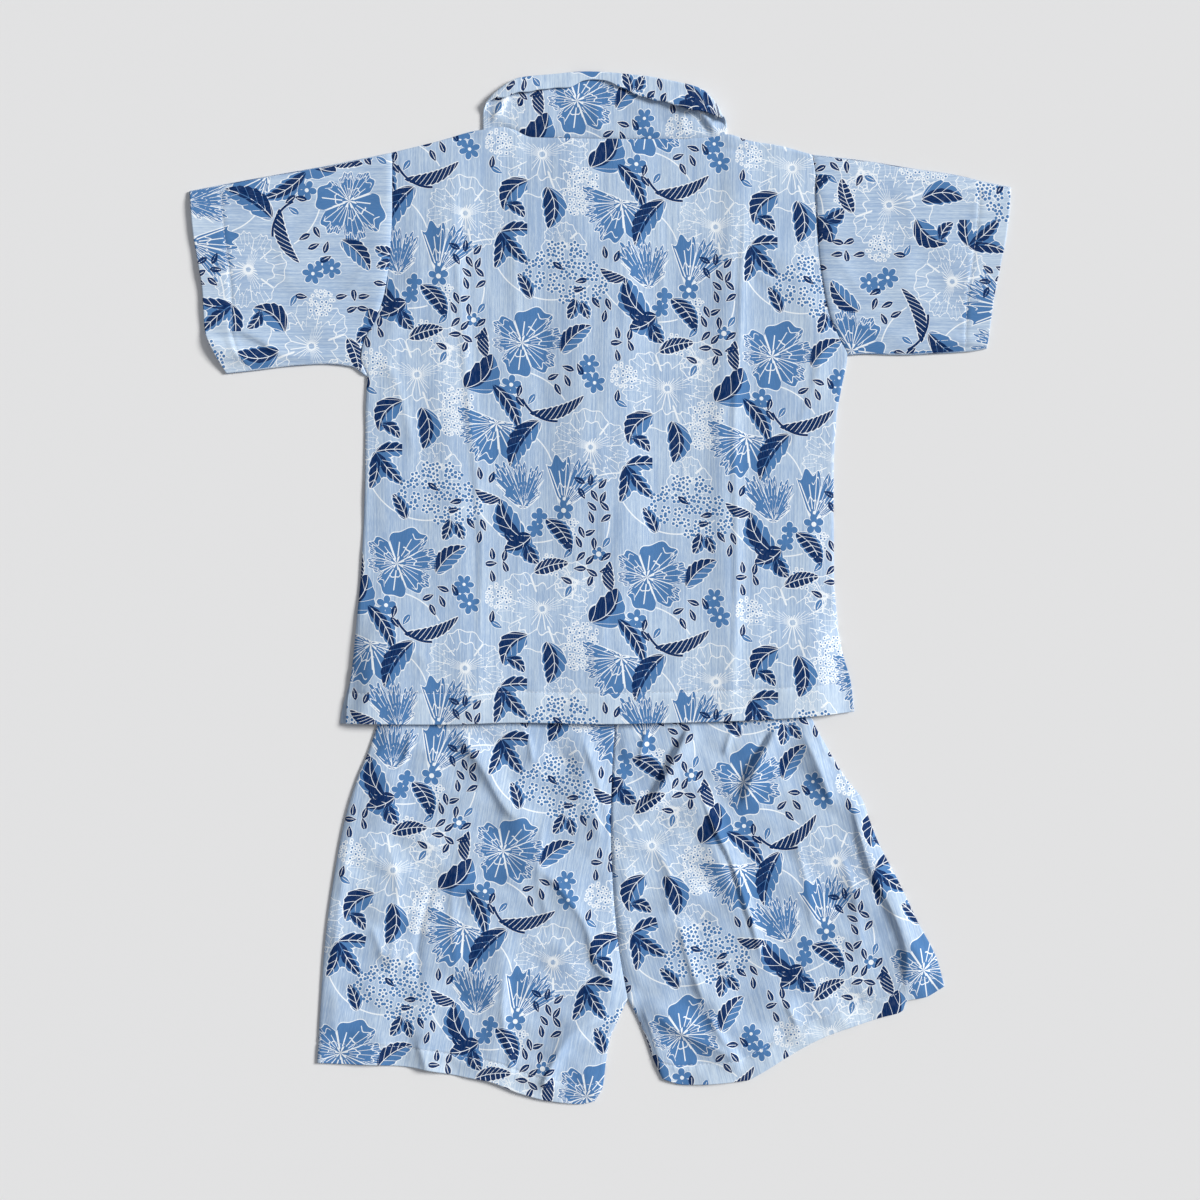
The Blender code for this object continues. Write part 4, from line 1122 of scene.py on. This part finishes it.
def make_shirt_front(which):
    """A front panel, which lies on the table under the back."""
    is_left = which == "left"
    edge_x = LAP_HALF if is_left else -LAP_HALF
    edge = outline((edge_x, HEM[3].y), (edge_x, FRONT_NECK_Y))
    if is_left:
        table, top, hem, sides = SIDE_LEFT, FRONT_LEFT_TOP, HEM[:3] + edge[:1], (SIDE_LEFT, edge)
    else:
        table, top, hem, sides = SIDE_RIGHT, FRONT_RIGHT_TOP, edge[:1] + HEM[4:], (edge, SIDE_RIGHT)
    patch = panel(side(hem), side(top), side(sides[0]), side(sides[1]))
    width, height = length_of(hem), length_of(table)

    def form(u, v):
        x, y = patch(u, v)
        if is_left:
            x = x - VENT_SHOW * ease(1.0 - (y - HEM[0].y) / VENT_HEIGHT) * (1.0 - u) ** 3
        z = waist_lift(x, y) + button_lift(x, y) + (0.0 if is_left else lap_step(x))
        outer = u if is_left else 1.0 - u
        sewn = ease((v - VENT_HEIGHT / height) / 0.02)
        return x, y, z + sewn * SEWN_LIFT * (1.0 - ease(outer * width / SEWN_FLAT))

    opening = width - 2.0 * LAP_HALF if is_left else 2.0 * LAP_HALF
    u, v = np.meshgrid(stations(width, HIDDEN_GRID, [opening]), stations(height, HIDDEN_GRID, [SHIRT_HEM]))
    x, y, z = form(u, v)
    thing = lay_cloth(f"shirt_front_{which}_cloth", x, y, z, CUT_SHIRT(-x + 30.0, y),
                      hem_tone(SHIRT_HEM / height, v, 0.004), face_down=True)
    row, stand = (SHIRT_HEM - STITCH_INSET) / height, opening / width
    lines = [stitch_row(form, (0.02, row), (0.98, row)), stitch_row(form, (stand, 0.02), (stand, 0.98))]
    stitches = make_stitches(f"shirt_front_{which}_stitches", lines, -0.1)
    dress(thing, [f"shirt_front_{which}"], area_of(x, y))


def make_sleeve(which, top, bottom, cuff, body, hole, sign, cut):
    """A sleeve as a flattened tube: the rings run up the upper layer and back along the lower one."""
    start, body_edge = share_of(body + hole, len(body)), side(body + hole)
    length, across = length_of(bottom), length_of(cuff)
    row = SLEEVE_HEM - STITCH_INSET

    def armhole(share):
        return body_edge(start + (1.0 - start) * np.asarray(share)) + np.array([sign * ARMHOLE_GAP, 0.0])

    patch = panel(side(cuff), armhole, side(bottom), side(top))

    def upper(a, v):
        x, y = patch(v, a)
        edge = np.minimum(v, 1.0 - v)
        inside = ease(edge / 0.08)
        z = SOLID_WALL - CLOTH / 2 + LAYER + 0.8 * PUFF * ease(edge / PUFF_REACH)
        creasing = SHIRT_CREASING * crease_heights(x, y, SLEEVE_CREASES)
        z = z + (fold_heights(x, y, SLEEVE_FOLDS) + creasing) * inside
        z = z + 0.3 * ripple(x, y, 7, 36.0) * inside + ARMHOLE_DIP * seam_dip((1.0 - a) * length)
        return x, y, z + hem_band(a * length, SLEEVE_HEM, x, y, 8) * inside

    columns = stations(across - 2.0, GRID)
    turn = np.pi * np.arange(1, TUBE_STEPS) / TUBE_STEPS
    low = CLOTH / 2
    rings = []
    for a in stations(length, GRID, [row]):
        ends, both = np.array([a, a]), np.array([0.0, 1.0])
        high = upper(ends, both)[2]
        width = float(np.linalg.norm(np.diff(patch(both, ends))))
        radius = (high - low) / 2.0 / width
        inset = radius + CLOTH / 2 / width
        over = inset[0] + columns * (1.0 - inset[0] - inset[1])
        v = np.concatenate([over, 1 - inset[1] + radius[1] * np.sin(turn), over[::-1],
                            inset[0] - radius[0] * np.sin(turn)])
        level = np.concatenate([np.ones_like(over), (1 + np.cos(turn)) / 2, np.zeros_like(over),
                                (1 - np.cos(turn)) / 2])
        x, y, z = upper(np.full_like(v, a), v)
        tuck = ARMHOLE_TUCK * level * (1.0 - ease((1.0 - a) * length / 1.5))
        x, z = x - sign * tuck, z - 0.8 * tuck
        rings.append((x, y, low + level * (z - low), np.full_like(v, a), level))
    x, y, z, a, level = (np.stack([ring[k] for ring in rings]) for k in range(5))
    cut_x, cut_y = cut(x, y)
    under = (1.0 - level) * PRINT_BEHIND
    thing = lay_cloth(f"sleeve_{which}_cloth", x, y, z, (cut_x + under, cut_y + under * 0.4),
                      hem_tone(SLEEVE_HEM / length, a, 0.01), closed=True, offset=0.0, face_down=sign < 0.0)
    line = stitch_row(upper, (row / length, 0.03), (row / length, 0.97))
    stitches = make_stitches(f"sleeve_{which}_stitches", [line], 0.32)
    area = 2 * area_of(x[:, :len(columns)], y[:, :len(columns)])
    dress(thing, [f"sleeve_{which}"], area)


def make_collar():
    """A band round the neck: a front leaf below at each side, and over them the back with its roll."""
    low, high = CLOTH / 2 + 0.1, CLOTH / 2 + LAYER + 0.2
    radius = (high - low) / 2
    left_x, right_x = COLLAR_TOP[0].x + SOLID_WALL / 2 + radius, COLLAR_TOP[-1].x - SOLID_WALL / 2 - radius
    seams = (BACK_TOP, FRONT_LEFT_TOP, FRONT_RIGHT_TOP, COLLAR_TOP, LEAF_TOP)
    back_seam, left_seam, right_seam, back_edge, leaf_edge = (graph(side(table)) for table in seams)
    spots, returns, radii = zip(*COLLAR_RETURNS)

    half_turn = np.linspace(0.0, math.pi, TURN_COLUMNS)
    stops = [(x, 0.0) for x in np.linspace(-1.0, left_x, LEAF_COLUMNS)[:-1]]
    stops += [(left_x - radius * math.sin(t), (1 - math.cos(t)) / 2) for t in half_turn]
    stops += [(x, 1.0) for x in np.linspace(left_x, right_x, BACK_COLUMNS)[1:-1]]
    stops += [(right_x + radius * math.sin(t), (1 + math.cos(t)) / 2) for t in half_turn]
    stops += [(x, 0.0) for x in np.linspace(right_x, 1.0, LEAF_COLUMNS)[1:]]
    up, round_it, back_down = COLLAR_ROWS
    columns, cut_columns = [], []
    walked, last = 0.0, stops[0][0]
    for x, share in stops:
        front_seam = left_seam if x < 0 else right_seam
        seam_y = front_seam(x) + share * (back_seam(x) - front_seam(x)) - 1.0
        edge_y = leaf_edge(x) + share * (back_edge(x) - leaf_edge(x))
        inside = min(x - left_x, right_x - x)
        back = share * float(ease(inside / 12.0))
        roll = float(ease((inside + 2.0) / 8.0)) if share == 1.0 else 0.0
        curl = float(through(spots, radii, x))
        arc, run = math.pi * curl, float(through(spots, returns, x))
        run *= 1.0 + 0.04 * math.sin(x * 0.21) + 0.02 * math.sin(x * 0.47 + 1.0)
        tall = roll * (edge_y - CLOTH / 2 - curl - seam_y) + (1.0 - roll) * (edge_y - seam_y - arc - run)
        spans = zip(COLLAR_ROWS, (tall, arc, run))
        steps = np.concatenate([np.full(count, span / count) for count, span in spans])
        bend = math.pi * roll * (np.arange(round_it) + 0.5) / round_it
        droop = COLLAR_DROOP + COLLAR_DROOP_RIGHT * float(ease(x / 60.0))
        droop = roll * droop * np.linspace(0.0, 1.0, back_down)
        turns = np.concatenate([np.zeros(up), bend, math.pi * roll - droop])
        y = seam_y + np.concatenate([[0.0], np.cumsum(steps * np.cos(turns))])
        z = low + share * (high - low) + np.concatenate([[0.0], np.cumsum(steps * np.sin(turns))])
        rise = np.clip((y - seam_y) / max(edge_y - seam_y, 1.0), 0.0, 1.0)
        z += back * COLLAR_BULGE * np.sin(np.pi * rise)
        z += back * COLLAR_WAVER * np.sin(np.pi * rise) * ripple(np.full_like(y, x), y, 11, 24.0)
        z -= back * COLLAR_DIP * np.exp(-(((y - seam_y) / 2.0) ** 2))
        z[:up] += back * crease_heights(np.full(up, x), y[:up], COLLAR_CREASES)
        walked += abs(x - last)
        last = x
        columns.append((np.full_like(y, x), y, np.maximum(z, CLOTH / 2)))
        cut_columns.append((np.full_like(y, walked), np.concatenate([[0.0], np.cumsum(steps)])))
    x, y, z = (np.stack(part, axis=1) for part in zip(*columns))
    cut_x, cut_y = (np.stack(part, axis=1) for part in zip(*cut_columns))
    # The rows past the roll, the fall that lies over the band, are marked half pale: a painted highlight
    # where the fall is well lit.
    lit_fall = np.linspace(0.0, 1.0, x.shape[0])[:, None] > 0.55
    thing = lay_cloth("collar_cloth", x, y, z, (cut_x - 160.0, cut_y - 30.0), lit_fall * 0.5,
                      offset=0.0, lined=True)
    area = float((np.diff(cut_x, axis=1)[:-1] * np.diff(cut_y, axis=0)[:, :-1]).sum()) * MM * MM
    dress(thing, ["collar"], area)


def make_waistband():
    """The elastic casing, gathered: a flat tube with even small ripples across it."""
    columns, edges = np.linspace(0.0, 1.0, 260), np.linspace(0.0, 1.0, 15)
    turn = np.pi * np.arange(1, 5) / 5
    ring = [(t, 1.0) for t in edges]
    ring += [(1.0 + 0.04 * math.sin(t), (1 + math.cos(t)) / 2) for t in turn]
    ring += [(t, 0.0) for t in edges[::-1]]
    ring += [(-0.04 * math.sin(t), (1 - math.cos(t)) / 2) for t in turn]
    share, level = (np.array(part)[None, :] for part in zip(*ring))
    x = (WAIST_LEFT_X + 1.0 + columns * (WAIST_RIGHT_X - WAIST_LEFT_X - 2.0))[:, None] + 0.0 * share
    y = WAIST_SEAM_Y + 1.2 + share * (WAIST_TOP_Y - WAIST_SEAM_Y - 2.4) + 0.0 * x
    inside = np.sin(np.pi * np.clip(share, 0.0, 1.0)) ** 0.5
    gather = 0.30 * np.sin(x * 1.15 + 0.8 * np.sin(x * 0.13)) * inside
    z = 0.5 + level * 2.6 + np.where(level > 0.5, gather, 0.0)
    thing = lay_cloth("waistband_cloth", x, y, z, (x * 1.5, y), 0.3, closed=True, offset=0.0)
    area = 2 * WAISTBAND_GATHERED * MM * WAISTBAND_CUT[1] * MM
    dress(thing, ["waistband"], area)


def make_leg(which, hem, left, right, cut):
    """The back and the front of one leg."""
    patch = panel(side(hem), side([tuple(left(1.0)), tuple(right(1.0))]), left, right)
    width = length_of(hem)
    row = SHORTS_HEM - STITCH_INSET

    def form(u, v):
        x, y = patch(u, v)
        seam = ease((y - WAIST_RISE_START_Y) / WAIST_RISE_REACH) * WAIST_RISE
        seams = ease(np.minimum(u, 1.0 - u) / PUFF_REACH)
        free = ease((SHORTS_CAP_Y - y) / (SHORTS_CAP_Y - SHORTS_FREE_Y))
        loose, loose_seams = (HELD_SHARE + (1.0 - HELD_SHARE) * share for share in (free, seams))
        raised = puff(u, v) + seam + seams * loose * fold_heights(x, y, SHORTS_FOLDS)
        creasing = SHORTS_CREASING * loose_seams * crease_heights(x, y, SHORTS_CREASES)
        raised = raised + creasing + seams * (0.85 * ripple(x, y, 21, 42.0) + 0.25 * ripple(x, y, 22, 18.0))
        cap = SHORTS_CAP - LAYER + SHORTS_CAP_FREE * free
        z = LAYER + SOLID_WALL + cap * np.tanh(raised / cap)
        z = z + seam_dip(np.minimum(u, 1.0 - u) * width)
        return x, y, z + hem_band(v * LEG_LENGTH, SHORTS_HEM, x, y, 24)

    u, v = np.meshgrid(stations(width, SHORTS_GRID), stations(LEG_LENGTH, SHORTS_GRID, [row]))
    x, y, z = form(u, v)
    pale = hem_tone(SHORTS_HEM / LEG_LENGTH, v, 0.005, SHORTS_HEM_TONE)
    back = lay_cloth(f"shorts_back_{which}_cloth", x, y, z, cut(x, y), pale)
    line = stitch_row(form, (0.01, row / LEG_LENGTH), (0.99, row / LEG_LENGTH))
    stitches = make_stitches(f"shorts_{which}_stitches", [line])
    area = area_of(x, y)
    dress(back, [f"shorts_back_{which}"], area)
    u, v = np.meshgrid(stations(width, HIDDEN_GRID), stations(LEG_LENGTH, HIDDEN_GRID))
    x, y = patch(u, v)
    sewn = SEWN_LIFT * (1.0 - ease(np.minimum(u, 1.0 - u) * width / SEWN_FLAT))
    pale = hem_tone(0.05, v, 0.005, SHORTS_HEM_TONE)
    front = lay_cloth(f"shorts_front_{which}_cloth", x, y, sewn, cut(-x, y), pale, face_down=True)
    dress(front, [f"shorts_front_{which}"], area)


def make_shorts():
    left_in, right_in = joined(LEG_LEFT_IN, CENTRE_SEAM), joined(LEG_RIGHT_IN, CENTRE_SEAM_RIGHT)
    make_leg("left", LEG_LEFT_HEM, side(LEG_LEFT_OUT), left_in, CUT_LEG_LEFT)
    make_leg("right", LEG_RIGHT_HEM, right_in, side(LEG_RIGHT_OUT), CUT_LEG_RIGHT)


def make_buttons():
    """Four-hole buttons, dished on the side that faces the table."""
    rim, dish, hole, spacing = 1.0, 0.4, 0.55, 1.25
    profile = [
        (0.0, BUTTON_THICK), (4.6, BUTTON_THICK), (5.2, 1.3), (BUTTON_RADIUS, 0.95), (BUTTON_RADIUS, 0.45),
        (5.2, 0.08), (4.8, 0.0), (5.15 - rim, 0.06), (4.9 - rim, dish), (0.0, dish + 0.05),
    ]
    mesh = bpy.data.meshes.new("button_turned")
    mesh.from_pydata([(r * MM, 0.0, z * MM) for r, z in profile], [], [])
    form = bmesh.new()
    form.from_mesh(mesh)
    form.verts.ensure_lookup_table()
    edges = [form.edges.new((form.verts[i], form.verts[i + 1])) for i in range(len(profile) - 1)]
    bmesh.ops.spin(form, geom=form.verts[:] + edges, cent=(0, 0, 0), axis=(0, 0, 1), angle=2 * math.pi,
                   steps=40, use_merge=True)
    bmesh.ops.remove_doubles(form, verts=form.verts[:], dist=1e-6)
    bmesh.ops.recalc_face_normals(form, faces=form.faces[:])
    form.to_mesh(mesh)
    form.free()
    blank = add_object("button_blank", mesh)
    drills = bmesh.new()
    for dx in (-spacing, spacing):
        for dy in (-spacing, spacing):
            made = bmesh.ops.create_cone(drills, cap_ends=True, segments=14, radius1=hole * MM,
                                         radius2=hole * MM, depth=6 * MM)
            bmesh.ops.translate(drills, verts=made["verts"], vec=(dx * MM, dy * MM, 0.0))
    drill_mesh = bpy.data.meshes.new("button_drills")
    drills.to_mesh(drill_mesh)
    drills.free()
    drill = add_object("button_drills", drill_mesh)
    blank.modifiers.new("holes", "BOOLEAN").object = drill
    bpy.context.view_layer.update()
    drilled = bpy.data.meshes.new_from_object(blank.evaluated_get(bpy.context.evaluated_depsgraph_get()))
    drilled.materials.clear()
    drilled.materials.append(button_shell)
    drilled.shade_smooth()
    drilled.set_sharp_from_angle(angle=math.radians(40))
    bpy.data.objects.remove(blank)
    bpy.data.objects.remove(drill)
    for k in range(BUTTON_COUNT):
        button = add_object(f"button_{k + 1}_turned", drilled)
        button.location = (0.0, (BUTTON_TOP_Y - k * BUTTON_PITCH) * MM, 0.0)
        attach(button, "root")
        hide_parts(f"button_{k + 1}")


# The stage
CENTRE = Vector((0.0, -9.0 * MM, 0.0))
SPAN = 0.894
LENS = 70.0
SENSOR = 36.0
FLOOR_SIZE = 14.0
FLOOR_Z = -0.0002


def make_stage():
    bpy.ops.mesh.primitive_plane_add(size=FLOOR_SIZE, location=(0.0, 0.0, FLOOR_Z))
    floor = bpy.context.object
    floor.name = "floor"
    floor.data.materials.append(plain_material("floor_paper", (0.80, 0.80, 0.80), 0.95, 0.02))


def add_light(name, place_at, spread, energy, colour):
    """A distant soft light, as wide as a spread in degrees."""
    light = bpy.data.lights.new(name, "SUN")
    light.angle = math.radians(spread)
    light.energy = energy
    light.color = colour
    thing = add_object(name, light)
    thing.location = place_at
    thing.rotation_euler = (CENTRE - Vector(place_at)).to_track_quat("-Z", "Y").to_euler()


def make_light_and_camera():
    add_light("window", (1.93, 0.62, 1.36), 20.0, 3.72, (1.0, 0.99, 0.97))
    add_light("fill", (-0.6, -0.3, 2.2), 90.0, 0.15, (0.97, 0.98, 1.0))
    world = bpy.data.worlds.new("studio")
    world.use_nodes = True
    sky = world.node_tree.nodes["Background"]
    sky.inputs["Color"].default_value = (0.90, 0.93, 1.0, 1.0)
    sky.inputs["Strength"].default_value = 0.27
    bpy.context.scene.world = world
    camera = bpy.data.cameras.new("camera")
    camera.lens = LENS
    camera.sensor_width = SENSOR
    thing = add_object("camera", camera)
    thing.location = CENTRE + Vector((0.0, 0.0, SPAN / 2 * LENS / (SENSOR / 2)))
    bpy.context.scene.camera = thing
    bpy.context.scene.view_settings.view_transform = "Standard"


printed_cotton = cotton("printed_cotton_cloth", True)
reverse_cotton = cotton("reverse_of_the_cloth", False)
thread = plain_material("thread", (0.70, 0.76, 0.86), 0.7, 0.3)
button_shell = plain_material("button_shell", (0.80, 0.81, 0.83), 0.3, 0.2)
make_shirt_back()
make_shirt_front("left")
make_shirt_front("right")
make_sleeve("left", SLEEVE_LEFT_TOP, SLEEVE_LEFT_BOTTOM, CUFF_LEFT, BODY_LEFT, ARMHOLE_LEFT,
            -1.0, CUT_SLEEVE_LEFT)
make_sleeve("right", SLEEVE_RIGHT_TOP, SLEEVE_RIGHT_BOTTOM, CUFF_RIGHT, BODY_RIGHT, ARMHOLE_RIGHT,
            1.0, CUT_SLEEVE_RIGHT)
make_collar()
make_waistband()
make_shorts()
make_buttons()
make_stage()
make_light_and_camera()
